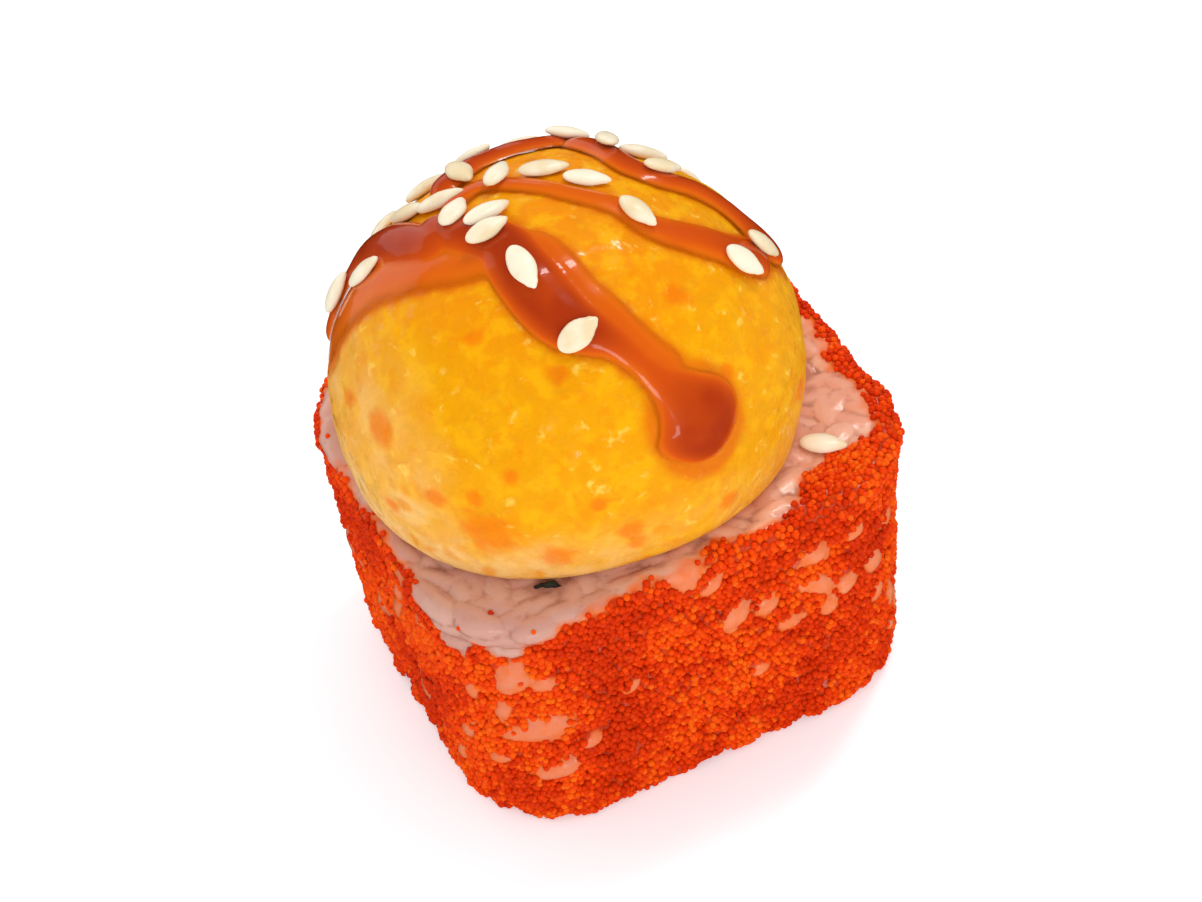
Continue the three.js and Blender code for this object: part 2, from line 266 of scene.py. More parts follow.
    def finish(self, sockets: dict[str | int, Any]) -> bpy.types.Material:
        """Ends the material in a Principled shader.

        Args:
            sockets: a value or a link for each of its inputs.

        Returns:
            The material.
        """
        shader = self.node("ShaderNodeBsdfPrincipled", sockets=sockets)
        ending = self.tree.nodes.new("ShaderNodeOutputMaterial")
        self.tree.links.new(shader.socket, ending.inputs["Surface"])
        return self.material


# ------------------------------------------------------------------------------------------------
# Finishes
# ------------------------------------------------------------------------------------------------


@dataclass(frozen=True)
class Clouds:
    """Cloudy patches of a colour on another: how much of it shows, how wide the patches are, and
    the noise at which they start and are full."""

    colour: str
    share: float
    size: float
    start: float
    full: float
    detail: float = 2.0

    def over(self, graph: Graph, under: Value | str, place: Value) -> Value:
        """Lays the patches over another colour.

        Args:
            graph: the material's nodes.
            under: the colour below.
            place: the points that the patches are laid out on.

        Returns:
            The mixed colour.
        """
        mask = graph.step(graph.noise(place, self.size, self.detail), self.start, self.full)
        return graph.mix(under, self.colour, self.share * mask)


@dataclass(frozen=True)
class RiceFinish:
    """Moist cooked rice, stained where roe lies on it, with painted shade: cooler and greyer on the
    left, partly for nori showing through there, and darker in the creases.
    """

    pale: str = "#f2bda2"
    warm: str = "#e59c80"
    # The next two colours are painted shade: a cool grey tint on the left side, and a dark tint in
    # the creases between grains.
    cool_shade: str = "#c4968c"
    crease_shade: str = "#a2583e"
    stain: str = "#f06c0c"
    soaked: str = "#d23a04"
    tone_share: float = 0.6
    warm_share: float = 0.85
    cool_shade_share: float = 0.7
    crease_shade_share: float = 0.6
    stain_fray: float = 0.4
    warming: tuple[float, float] = (0.35, 1.05)
    stained: tuple[float, float] = (0.35, 1.15)
    soaking: tuple[float, float] = (0.95, 1.2)
    blotch: float = 2.4 * MM
    stain_blotch: float = 0.7 * MM
    cool_shade_reach: float = 6.0 * MM
    grit: float = 0.35 * MM
    grit_height: float = 0.03 * MM

    def _colour(self, graph: Graph, place: Value) -> Value:
        """Colours the grains and their stains, and paints shade on the left side and in the creases
        between the grains.

        Args:
            graph: the material's nodes.
            place: the point on the rice.

        Returns:
            The colour.
        """
        cloud = graph.noise(place, self.blotch)
        warm = graph.step(cloud + self.tone_share * graph.attribute("tone"), *self.warming)
        clean = graph.mix(self.pale, self.warm, self.warm_share * warm)
        # Painted shade: the left side of the rice is tinted cooler and greyer.
        across = graph.along("X") + self.cool_shade_reach * cloud
        shaded_left = 1.0 - graph.step(across, -self.cool_shade_reach, self.cool_shade_reach)
        clean = graph.mix(clean, self.cool_shade, self.cool_shade_share * shaded_left)
        # Painted shade: darker colour in the creases between grains.
        clean = graph.mix(clean, self.crease_shade, self.crease_shade_share * graph.attribute("crease_shade"))
        fray = self.stain_fray * graph.noise(place, self.stain_blotch, 3.0)
        stain = graph.attribute("stain") + fray
        colour = graph.mix(clean, self.stain, graph.step(stain, *self.stained))
        return graph.mix(colour, self.soaked, graph.step(stain, *self.soaking))

    def material(self) -> bpy.types.Material:
        """Builds the material.

        Returns:
            The material.
        """
        graph = Graph("cooked_rice")
        place = graph.place()
        return graph.finish({
            "Base Color": self._colour(graph, place),
            "Roughness": 0.3,
            "Normal": graph.bump(graph.noise(place, self.grit, 3.0), self.grit_height),
            "Coat Weight": 0.35,
            "Coat Roughness": 0.18,
            "Subsurface Weight": 0.12,
            "Subsurface Radius": (1.0, 0.55, 0.35),
            "Subsurface Scale": 0.8 * MM,
        })


@dataclass(frozen=True)
class RoeFinish:
    """Glossy fish roe of one shade."""

    name: str
    shade: str
    light: str
    deep: str
    drift: float = 5.0 * MM
    pore: float = 0.16 * MM
    pore_height: float = 0.012 * MM

    def material(self) -> bpy.types.Material:
        """Builds the material.

        Returns:
            The material.
        """
        graph = Graph(self.name)
        place = graph.place()
        tone = 0.6 * graph.attribute("tone") + 0.4 * graph.noise(place, self.drift)
        colour = graph.ramp(tone, (0.12, self.deep), (0.5, self.shade), (0.88, self.light))
        return graph.finish({
            "Base Color": colour,
            "Roughness": 0.3,
            "Normal": graph.bump(graph.noise(place, self.pore), self.pore_height),
            "Specular IOR Level": 0.08,
            "Coat Weight": 0.16,
            "Coat Roughness": 0.12,
            "Subsurface Weight": 0.25,
            "Subsurface Radius": (1.0, 0.25, 0.05),
            "Subsurface Scale": 0.4 * MM,
        })


# The roe's three shades, from the brightest to the deepest.
ROE_SHADES = (
    RoeFinish("roe_bright", "#f25004", "#f8680c", "#ea4002"),
    RoeFinish("roe_orange", "#e63c02", "#f04c04", "#d83400"),
    RoeFinish("roe_deep", "#d43000", "#e03c04", "#c42a00"),
)


@dataclass(frozen=True)
class BakedSauceFinish:
    """Thick baked sauce: yellow, browner above and specked with orange, with painted light that
    makes it paler at the rim.
    """

    crown: str = "#ea8a00"
    belly: str = "#e79c00"
    rim_light: str = "#f1be72"
    speck: str = "#ea6e00"
    film: str = "#dc6604"
    blush: Clouds = Clouds("#eb8e00", 0.6, 2.8 * MM, 0.45, 0.68, 3.0)
    light: Clouds = Clouds("#f1b004", 0.7, 1.4 * MM, 0.43, 0.66, 4.0)
    freckles: Clouds = Clouds("#ea8c00", 0.55, 0.8 * MM, 0.55, 0.72)
    glow: Clouds = Clouds("#fbcf58", 0.7, 1.1 * MM, 0.61, 0.76, 3.0)
    rim_light_share: float = 0.95
    dot_share: float = 0.7
    speck_share: float = 0.65
    film_share: float = 0.8
    cloud: float = 5.0 * MM
    stir: float = 0.3 * MM
    rim_levels: tuple[float, float] = (22.0 * MM, 28.0 * MM)
    crown_levels: tuple[float, float] = (34.5 * MM, 42.0 * MM)
    # The paler rim is painted light: fainter on the right side, wider on the left flank, and in
    # patches.
    right_side: tuple[float, float] = (-11.0 * MM, -1.0 * MM)
    left_flank: tuple[float, float] = (-17.6 * MM, -13.0 * MM)
    flank_wander: float = 2.5 * MM
    side_share: float = 0.75
    rim_patch: float = 2.6 * MM
    rim_patches: tuple[float, float] = (0.38, 0.62)
    rim_least: float = 0.35
    dot_step: float = 2.3 * MM
    dot_edge: tuple[float, float] = (0.1, 0.4)
    dot_cloud: float = 4.0 * MM
    dot_fade: float = 14.0
    dots_kept: tuple[float, float] = (0.44, 0.64)
    wet_spot: float = 0.9 * MM
    wetting: tuple[float, float] = (0.55, 0.64)
    lump: float = 1.1 * MM
    lump_height: float = 0.22 * MM
    crumb: float = 0.32 * MM
    crumb_height: float = 0.045 * MM

    def _painted_rim_light(self, graph: Graph, place: Value, ragged: Value, cloud: Value) -> Value:
        """Finds where a paler rim is painted on the dome as light, wider on the left flank and
        fainter on the right.

        Args:
            graph: the material's nodes.
            place: the point on the dome.
            ragged: its height, moved up and down by the cloud.
            cloud: slow noise about 0.

        Returns:
            How strongly the painted rim light shows, from 0 to 1.
        """
        along = graph.along("X")
        right = graph.step(along, *self.right_side)
        flank = 1.0 - graph.step(along + self.flank_wander * cloud, *self.left_flank)
        low = 1.0 - graph.step(ragged, *self.rim_levels)
        low = low * (1.0 - self.side_share * right) + self.side_share * flank
        patchy = graph.step(graph.noise(place, self.rim_patch, 3.0), *self.rim_patches)
        return low * (self.rim_least + (1.0 - self.rim_least) * patchy)

    def _dots(self, graph: Graph, place: Value, stirred: Value, height: Value) -> Value:
        """Scatters dots over the rim, which thin out above it.

        Args:
            graph: the material's nodes.
            place: the point on the dome.
            stirred: the same point, moved about by noise.
            height: its height.

        Returns:
            How strongly the dots show, from 0 to 1.
        """
        spots = 1.0 - graph.step(graph.cells(stirred, self.dot_step), *self.dot_edge)
        above = height - self.rim_levels[1]
        cloud = graph.noise(place, self.dot_cloud) - self.dot_fade * above
        return spots * graph.step(cloud, *self.dots_kept)

    def _colour(self, graph: Graph, place: Value) -> Value:
        """Colours the dome.

        Args:
            graph: the material's nodes.
            place: the point on the dome.

        Returns:
            The colour.
        """
        height = graph.along("Z")
        cloud = graph.noise(place, self.cloud) - 0.5
        ragged = height + self.cloud * cloud
        stirred = graph.stirred(place, 1.0 * MM, self.stir)
        colour = graph.mix(self.belly, self.crown, graph.step(ragged, *self.crown_levels))
        for clouds in (self.blush, self.light):
            colour = clouds.over(graph, colour, place)
        for clouds in (self.freckles, self.glow):
            colour = clouds.over(graph, colour, stirred)
        marks = (
            # The paler rim is painted light, against the shade on the dome's underside.
            (self.rim_light, self.rim_light_share, self._painted_rim_light(graph, place, ragged, cloud)),
            (self.freckles.colour, self.dot_share, self._dots(graph, place, stirred, height)),
            (self.speck, self.speck_share, graph.attribute("speck")),
            (self.film, self.film_share, graph.attribute("film")),
        )
        for tint, share, mask in marks:
            colour = graph.mix(colour, tint, share * mask)
        return colour

    def material(self) -> bpy.types.Material:
        """Builds the material.

        Returns:
            The material.
        """
        graph = Graph("baked_sauce")
        place = graph.place()
        lumps = graph.bump(graph.noise(place, self.lump, 3.0), self.lump_height)
        wet = graph.step(graph.noise(place, self.wet_spot), *self.wetting)
        return graph.finish({
            "Base Color": self._colour(graph, place),
            "Roughness": 0.45,
            "Specular IOR Level": 0.06,
            "Normal": graph.bump(graph.noise(place, self.crumb), self.crumb_height, lumps),
            "Coat Weight": 0.04 + 0.66 * wet,
            "Coat Roughness": 0.1,
        })


@dataclass(frozen=True)
class DrizzleFinish:
    """Sweet brown sauce, see-through and orange where it is thin."""

    thin: str = "#ea7604"
    middle: str = "#ce4e08"
    thick: str = "#a83208"
    pools: Clouds = Clouds("#ce4e08", 0.35, 4.0 * MM, 0.45, 0.7)
    edge: float = 0.3 * MM
    full: float = 0.9 * MM

    def material(self) -> bpy.types.Material:
        """Builds the material.

        Returns:
            The material.
        """
        graph = Graph("drizzle_sauce")
        depth = graph.attribute("depth")
        share = graph.step(depth, 0.0, self.full)
        colour = graph.ramp(share, (0.0, self.thin), (0.45, self.middle), (1.0, self.thick))
        return graph.finish({
            "Base Color": self.pools.over(graph, colour, graph.place()),
            "Alpha": graph.step(depth, 0.0, self.edge),
            "Roughness": 0.25,
            "Specular IOR Level": 0.12,
            "Coat Weight": 0.5,
            "Coat Roughness": 0.06,
        })


@dataclass(frozen=True)
class SesameFinish:
    """Toasted sesame: cream, toasted in cloudy patches, some seeds more than others."""

    pale: str = "#f9eed4"
    toast: str = "#ecd6aa"
    cloud: float = 1.4 * MM
    pore: float = 0.3 * MM
    pore_height: float = 0.02 * MM

    def material(self) -> bpy.types.Material:
        """Builds the material.

        Returns:
            The material.
        """
        graph = Graph("sesame_seed")
        place = graph.place()
        tone = graph.noise(place, self.cloud) + 0.5 * graph.attribute("tone")
        return graph.finish({
            "Base Color": graph.mix(self.pale, self.toast, graph.step(tone, 0.5, 1.05)),
            "Roughness": 0.4,
            "Normal": graph.bump(graph.noise(place, self.pore), self.pore_height),
            "Coat Weight": 0.3,
            "Coat Roughness": 0.2,
        })


@dataclass(frozen=True)
class NoriFinish:
    """Moist nori: nearly black, with a green cast and a fine crackle."""

    dark: str = "#12150f"
    green: str = "#2b3324"
    crackle: float = 0.8 * MM
    crackle_height: float = 0.08 * MM

    def material(self) -> bpy.types.Material:
        """Builds the material.

        Returns:
            The material.
        """
        graph = Graph("nori_sheet")
        crackle = graph.noise(graph.place(), self.crackle, 4.0)
        return graph.finish({
            "Base Color": graph.mix(self.dark, self.green, graph.step(crackle, 0.4, 0.75)),
            "Roughness": 0.45 + 0.2 * crackle,
            "Normal": graph.bump(crackle, self.crackle_height),
        })


@dataclass(frozen=True)
class FillingFinish:
    """Pale soft filling with faint strands."""

    pale: str = "#f3e3cc"
    warm: str = "#e8bf93"
    strand: float = 3.0 * MM
    stretch: tuple[float, float, float] = (1.0, 3.0, 1.0)
    grain: float = 0.9 * MM
    grain_height: float = 0.1 * MM

    def material(self) -> bpy.types.Material:
        """Builds the material.

        Returns:
            The material.
        """
        graph = Graph("soft_filling")
        strands = graph.noise(graph.place(self.stretch), self.strand, 3.0)
        return graph.finish({
            "Base Color": graph.mix(self.pale, self.warm, graph.step(strands, 0.4, 0.7)),
            "Roughness": 0.5,
            "Normal": graph.bump(graph.noise(graph.place(), self.grain, 3.0), self.grain_height),
            "Coat Weight": 0.2,
        })


@dataclass(frozen=True)
class FloorFinish:
    """A plain pale table."""

    shade: str = "#f8fcff"
    cloudy: str = "#f4f8fb"
    cloud: float = 90 * MM
    glow: float = 0.27

    def material(self) -> bpy.types.Material:
        """Builds the material.

        Returns:
            The material.
        """
        graph = Graph("pale_floor")
        cloud = graph.noise(graph.place(), self.cloud)
        return graph.finish({
            "Base Color": graph.mix(self.shade, self.cloudy, cloud),
            "Roughness": 0.6,
            "Emission Color": paint(self.shade),
            "Emission Strength": self.glow,
        })


# ------------------------------------------------------------------------------------------------
# Modelling
# ------------------------------------------------------------------------------------------------


class Pick(Enum):
    """What a selection is made of."""

    POINTS = "VERT"
    EDGES = "EDGE"
    FACES = "FACE"


class Shaper:
    """The mesh that was just added, shaped by selections and operators as by hand."""

    def __init__(self, name: str) -> None:
        """Takes the object that was just added and opens it for editing.

        Args:
            name: the object's new name.
        """
        self.object = bpy.context.object
        self.object.name = name
        bpy.ops.object.mode_set(mode="EDIT")

    def pick(self, what: Pick, test: Callable[[Vector], bool]) -> "Shaper":
        """Selects the points, edges or faces whose middle passes a test.

        Args:
            what: the kind of element.
            test: tells from an element's middle whether it is wanted.

        Returns:
            The shaper itself.
        """
        bpy.ops.mesh.select_mode(type=what.value)
        bpy.ops.mesh.select_all(action="DESELECT")
        shape = bmesh.from_edit_mesh(self.object.data)
        if what is Pick.POINTS:
            for point in shape.verts:
                point.select = test(point.co)
        elif what is Pick.EDGES:
            for edge in shape.edges:
                edge.select = test((edge.verts[0].co + edge.verts[1].co) / 2)
        else:
            for face in shape.faces:
                face.select = test(face.calc_center_median())
        shape.select_flush_mode()
        bmesh.update_edit_mesh(self.object.data)
        return self

    def pick_all(self) -> "Shaper":
        """Selects the whole mesh."""
        bpy.ops.mesh.select_all(action="SELECT")
        return self

    def resize(self, by: Sequence[float]) -> "Shaper":
        """Stretches what is selected about the origin."""
        bpy.ops.transform.resize(value=by, center_override=(0, 0, 0))
        return self

    def move(self, by: Sequence[float]) -> "Shaper":
        """Moves what is selected."""
        bpy.ops.transform.translate(value=by)
        return self

    def turn(self, angle: float, axis: str) -> "Shaper":
        """Turns what is selected about an axis, and undoes the operator's turn the other way."""
        bpy.ops.transform.rotate(value=-angle, orient_axis=axis, center_override=(0, 0, 0))
        return self

    def cut(self, level: float) -> "Shaper":
        """Cuts off what is below a level, and closes the cut.

        Args:
            level: how high the cut is.

        Returns:
            The shaper itself.
        """
        where = {"plane_co": (0, 0, level), "plane_no": (0, 0, 1)}
        bpy.ops.mesh.bisect(**where, use_fill=True, clear_inner=True)
        return self

    def bevel(self, offset: float, segments: int) -> "Shaper":
        """Rounds the selected edges."""
        bpy.ops.mesh.bevel(offset=offset, segments=segments, profile=0.5)
        return self

    def close(self) -> "Shaper":
        """Ends the editing, with the mesh's place in its points.

        Returns:
            The shaper itself.
        """
        bpy.ops.object.mode_set(mode="OBJECT")
        bpy.ops.object.transform_apply(location=True, rotation=True, scale=True)
        return self

    def modify(self, kind: str, **settings: Any) -> "Shaper":
        """Adds a modifier and applies it.

        Args:
            kind: the modifier's type.
            **settings: its settings.

        Returns:
            The shaper itself.
        """
        self.object.select_set(True)
        bpy.context.view_layer.objects.active = self.object
        modifier = self.object.modifiers.new(kind.lower(), kind)
        for name, setting in settings.items():
            setattr(modifier, name, setting)
        bpy.ops.object.modifier_apply(modifier=modifier.name)
        return self


def begin() -> None:
    """Deselects everything, so that a new primitive is all that the next operators act on."""
    bpy.ops.object.select_all(action="DESELECT")


def ball(name: str, segments: int, rings: int, radius: float = 0.5) -> Shaper:
    """Adds a ball.

    Args:
        name: its name.
        segments: its faces round the poles.
        rings: its faces from pole to pole.
        radius: its radius.

    Returns:
        The ball, open for editing and selected all over.
    """
    begin()
    bpy.ops.mesh.primitive_uv_sphere_add(segments=segments, ring_count=rings, radius=radius)
    return Shaper(name).pick_all()


def vectors_of(item: bpy.types.Object, name: str) -> Array:
    """Reads a vector of each point of a mesh object.

    Args:
        item: the object.
        name: "co" for the points' places, or "normal".

    Returns:
        A row for each point.
    """
    vectors = np.empty(len(item.data.vertices) * 3, np.float32)
    item.data.vertices.foreach_get(name, vectors)
    return vectors.reshape(-1, 3).astype(float)


def points_of(item: bpy.types.Object) -> Array:
    """All points of a mesh object."""
    return vectors_of(item, "co")


def normals_of(item: bpy.types.Object) -> Array:
    """The normal at each point of a mesh object."""
    return vectors_of(item, "normal")


def triangles_of(item: bpy.types.Object) -> Array:
    """Reads the triangles of a mesh object, as numbers of its points.

    Args:
        item: the object.

    Returns:
        A row of three numbers for each triangle.
    """
    item.data.calc_loop_triangles()
    corners = np.empty(len(item.data.loop_triangles) * 3, np.int32)
    item.data.loop_triangles.foreach_get("vertices", corners)
    return corners.reshape(-1, 3)


def move_points(item: bpy.types.Object, points: Array) -> None:
    """Puts the points of a mesh object in new places."""
    item.data.vertices.foreach_set("co", points.astype(np.float32).ravel())
    item.data.update()


def add_numbers(item: bpy.types.Object, name: str, numbers: Array) -> None:
    """Stores a number for each point of a mesh object."""
    store = item.data.attributes.new(name, "FLOAT", "POINT")
    store.data.foreach_set("value", numbers.astype(np.float32))


def mesh_object(name: str, points: Array, triangles: Array) -> bpy.types.Object:
    """Makes a smooth mesh object.

    Args:
        name: its name.
        points: its points, one row each.
        triangles: numbers of points, three in each row.

    Returns:
        The object.
    """
    mesh = bpy.data.meshes.new(name)
    mesh.vertices.add(len(points))
    mesh.vertices.foreach_set("co", points.astype(np.float32).ravel())
    mesh.loops.add(triangles.size)
    mesh.loops.foreach_set("vertex_index", triangles.astype(np.int32).ravel())
    mesh.polygons.add(len(triangles))
    mesh.polygons.foreach_set("loop_start", np.arange(0, triangles.size, 3, dtype=np.int32))
    mesh.polygons.foreach_set("loop_total", np.full(len(triangles), 3, np.int32))
    mesh.update(calc_edges=True)
    mesh.shade_smooth()
    item = bpy.data.objects.new(name, mesh)
    bpy.context.scene.collection.objects.link(item)
    return item


def surface_of(items: Iterable[bpy.types.Object]) -> BVHTree:
    """Joins the surfaces of several mesh objects, to drop other things on.

    Args:
        items: the objects.

    Returns:
        Their triangles, in a tree that rays can be cast at.
    """
    points: list[list[float]] = []
    triangles: list[list[int]] = []
    for item in items:
        triangles += (triangles_of(item) + len(points)).tolist()
        points += points_of(item).tolist()
    return BVHTree.FromPolygons(points, triangles)


def drop(
    surface: BVHTree, place: Array, out: Array, height: float
) -> tuple[Array, Array] | None:
    """Drops a point on a surface.

    Args:
        surface: the surface.
        place: a point near it.
        out: the direction that faces away from it.
        height: how far out the point starts.

    Returns:
        Where it lands and the surface's normal there, or nothing if it misses.
    """
    hit, normal, _, _ = surface.ray_cast(Vector(place + height * out), Vector(-out))
    return None if hit is None else (np.array(hit), np.array(normal))


def wavy(points: Array, size: float, offset: float = 0.0) -> Array:
    """Smooth noise from about -1 to 1 at each of many points.

    Args:
        points: the points.
        size: how far apart the noise's features lie.
        offset: moves the noise, so that two uses of it differ.

    Returns:
        A number for each point.
    """
    shift = Vector((offset, 2 * offset, 3 * offset))
    return np.array([noise.noise(Vector(point) / size + shift) for point in points])


@dataclass(frozen=True)
class Wave:
    """Smooth unevenness: its strength, how wide its features are, and what sets it apart."""

    strength: float
    size: float
    offset: float = 0.0

    def at(self, points: Array) -> Array:
        """The unevenness at each of many points."""
        return self.strength * wavy(points, self.size, self.offset)


def ripple(turn: Array, rise: Array, starts: tuple[float, float]) -> Array:
    """Gives a form unevenness all round, in two slow waves and five quick ones.

    Args:
        turn: angles round the form.
        rise: how high they are, because the waves lean.
        starts: where the slow and the quick waves start.

    Returns:
        A number from -1 to 1 for each angle.
    """
    slow = np.sin(2 * turn + starts[0] + 0.09 * rise)
    quick = np.sin(5 * turn + starts[1] - 0.16 * rise)
    return 0.6 * slow + 0.4 * quick


def smooth(share: Array) -> Array:
    """Eases shares from 0 to 1 at both ends."""
    return share * share * (3 - 2 * share)


def unit(vectors: Array) -> Array:
    """The same vectors, each one unit long."""
    return vectors / np.linalg.norm(vectors, axis=-1, keepdims=True)


@dataclass
class Copies:
    """Where the copies of one small shape go, how they are turned and sized, and their tones."""

    places: list[Array] = field(default_factory=list)
    frames: list[Array] = field(default_factory=list)
    tones: list[float] = field(default_factory=list)

    def add(self, place: Array, normal: Array, along: Array, scale: Array, tone: float) -> None:
        """Adds a copy.

        Args:
            place: its middle.
            normal: the direction of the shape's +Z.
            along: roughly the direction of its +X.
            scale: its stretch along its own X, Y and Z.
            tone: a number from 0 to 1 that its colour reads.
        """
        up = unit(normal)
        forward = unit(along - up * (along @ up))
        sideways = np.cross(up, forward)
        self.places.append(place)
        self.frames.append(np.array([forward, sideways, up]) * np.reshape(scale, (3, 1)))
        self.tones.append(tone)

    def build(self, name: str, shape: bpy.types.Object) -> bpy.types.Object:
        """Joins the copies in one mesh.

        Args:
            name: the piece's name.
            shape: the small shape, which whoever made it deletes afterwards.

        Returns:
            The piece.
        """
        points, triangles = points_of(shape), triangles_of(shape)
        count = len(self.places)
        turned = np.einsum("pk,nkj->npj", points, np.array(self.frames))
        every = turned + np.array(self.places)[:, None]
        faces = triangles[None] + (np.arange(count) * len(points))[:, None, None]
        item = mesh_object(name, every.reshape(-1, 3), faces.reshape(-1, 3))
        add_numbers(item, "tone", np.repeat(self.tones, len(points)))
        return item


def pressed(
    name: str,
    items: Sequence[bpy.types.Object],
    voxel: float,
    smoothing: int,
    kept_faces: float = 1.0,
) -> bpy.types.Object:
    """Melts overlapping closed meshes together into one soft mesh.

    Args:
        name: the new piece's name.
        items: the meshes, which are used up.
        voxel: the grain of the new mesh.
        smoothing: how many times it is smoothed.
        kept_faces: the share of its faces that is kept.

    Returns:
        The piece.
    """
    begin()
    for item in items:
        item.select_set(True)
    bpy.context.view_layer.objects.active = items[0]
    if len(items) > 1:
        bpy.ops.object.join()
    mass = Shaper(name).pick_all()
    bpy.ops.mesh.normals_make_consistent(inside=False)
    mass.close()
    mass.modify("REMESH", mode="VOXEL", voxel_size=voxel)
    mass.modify("SMOOTH", factor=0.5, iterations=smoothing)
    if kept_faces < 1:
        mass.modify("DECIMATE", ratio=kept_faces)
    mass.object.data.shade_smooth()
    return mass.object


def dress(
    item: bpy.types.Object, material: bpy.types.Material, slot: str, *nodes: str
) -> None:
    """Finishes a piece and reports it.

    Args:
        item: the piece.
        material: its material.
        slot: the record's slot that it takes its finish from; not used.
        *nodes: the CAD nodes that it stands for, if any.
    """
    item.data.materials.clear()
    item.data.materials.append(material)
    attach(item, BODY)
    if nodes:
        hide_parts(*nodes)
    LOG.info("%s: %d triangles", item.name, len(triangles_of(item)))


# ------------------------------------------------------------------------------------------------
# The slice: rice and roe
# ------------------------------------------------------------------------------------------------


@dataclass(frozen=True)
class SliceForm:
    """Outer form of the slice. A point on it is a share of the way round, counter-clockwise from
    the +X side, and a climb: up the wall, over the rounded brim and inwards over the top."""

    half_x: float = 18.0 * MM
    half_y: float = 16.4 * MM
    corner: float = 8.8 * MM
    height: float = 21.0 * MM
    taper: float = 0.9 * MM
    foot_depth: float = 1.8 * MM
    foot_height: float = 3.4 * MM
    brim: float = 1.3 * MM
    sway: float = 0.35 * MM
    ripple_starts: tuple[float, float] = (0.7, 1.61)

    # A short share of the way round, for directions, and how finely points are located.
    nudge: float = 0.002
    samples: int = 600
    chunk: int = 4000

    @property
    def around(self) -> float:
        """Length of the outline."""
        straight = 4 * (self.half_x + self.half_y - 2 * self.corner)
        return straight + 2 * math.pi * self.corner

    def outline(self, share: Array, inset: Array) -> Array:
        """Points on the rounded rectangle, moved in by an inset.

        Args:
            share: shares of the way round.
            inset: how far each point is moved in.

        Returns:
            The points' X and Y.
        """
        distance = (share % 1.0) * self.around
        found = np.zeros((len(distance), 2))
        open_ones = np.ones(len(distance), bool)
        arc = math.pi / 2 * self.corner
        reaches = (self.half_x, self.half_y)
        for side in range(4):
            reach = reaches[side % 2]
            straight = reaches[1 - side % 2] - self.corner
            cosine, sine = math.cos(side * math.pi / 2), math.sin(side * math.pi / 2)
            turn = np.array([[cosine, sine], [-sine, cosine]])
            angle = np.clip((distance - 2 * straight) / self.corner, 0, math.pi / 2)
            radius = self.corner - inset
            x = reach - self.corner + radius * np.cos(angle)
            y = np.minimum(distance, 2 * straight) - straight + radius * np.sin(angle)
            last = side == 3
            here = open_ones & ((distance <= 2 * straight + arc) | last)
            found[here] = (np.stack([x, y], 1) @ turn)[here]
            open_ones &= ~here
            distance = distance - 2 * straight - arc
        return found

    def ahead(self, share: Array, inset: Array) -> Array:
        """Short steps along the outline, counter-clockwise."""
        back = self.outline(share - self.nudge, inset)
        return self.outline(share + self.nudge, inset) - back

    def inset_at(self, share: Array, z: Array) -> Array:
        """Finds how far the wall lies inside its widest outline.

        Args:
            share: shares of the way round.
            z: heights.

        Returns:
            How far in the wall is there.
        """
        wave = self.sway * (1 + ripple(2 * math.pi * share, z / MM, self.ripple_starts)) / 2
        low = np.clip(1 - z / self.foot_height, 0, 1)
        foot = self.foot_depth * (1 - np.sqrt(1 - low * low))
        return self.taper * (1 - z / self.height) + foot + wave

    def point(self, share: Array, climb: Array) -> tuple[Array, Array]:
        """Points on the form, and the directions that face out there.

        Args:
            share: shares of the way round.
            climb: distances up the wall and over the top.

        Returns:
            The points and their outward directions.
        """
        past = climb - (self.height - self.brim)
        turn = np.clip(past / self.brim, 0, math.pi / 2)
        over = np.maximum(past - self.brim * math.pi / 2, 0)
        z = climb - np.maximum(past, 0) + self.brim * np.sin(turn)
        inset = self.inset_at(share, np.minimum(z, self.height))
        inset = inset + self.brim * (1 - np.cos(turn)) + over
        ahead = self.ahead(share, inset)
        level = unit(np.stack([ahead[:, 1], -ahead[:, 0]], 1))
        out = np.column_stack([level * np.cos(turn)[:, None], np.sin(turn)])
        return np.column_stack([self.outline(share, inset), z]), out

    def locate(self, points: Array) -> tuple[Array, Array]:
        """The share and the climb of points that lie near the form.

        Args:
            points: the points.

        Returns:
            Their shares and their climbs.
        """
        samples = np.linspace(0, 1, self.samples, endpoint=False)
        line = self.outline(samples, np.zeros(len(samples)))
        shares, depths = [], []
        for chunk in np.array_split(points[:, :2], max(1, len(points) // self.chunk)):
            away = np.linalg.norm(chunk[:, None] - line[None], axis=2)
            nearest = away.argmin(1)
            shares.append(samples[nearest])
            depths.append(away[np.arange(len(chunk)), nearest])
        share, depth = np.concatenate(shares), np.concatenate(depths)
        z = np.clip(points[:, 2], 0, self.height)
        inward = np.maximum(depth - self.inset_at(share, z), 0)
        on_top = z > self.height - self.brim
        climb = np.where(on_top, z + np.maximum(inward - 0.4 * self.brim, 0), z)
        return share, climb


@dataclass(frozen=True)
class Patch:
    """A bare patch in the roe, where grains of rice show."""

    share: float
    climb: float
    length: float
    width: float
    turn: float

    def reach(self, sideways: Array, upwards: Array) -> Array:
        """Measures how far points lie from the patch's middle.

        Args:
            sideways: how far they lie beside its middle.
            upwards: how far they lie above its middle.

        Returns:
            A number for each point, which is 1 on the patch's edge.
        """
        along = sideways * math.cos(self.turn) + upwards * math.sin(self.turn)
        across = upwards * math.cos(self.turn) - sideways * math.sin(self.turn)
        return np.hypot(along / (self.length / 2), across / (self.width / 2))


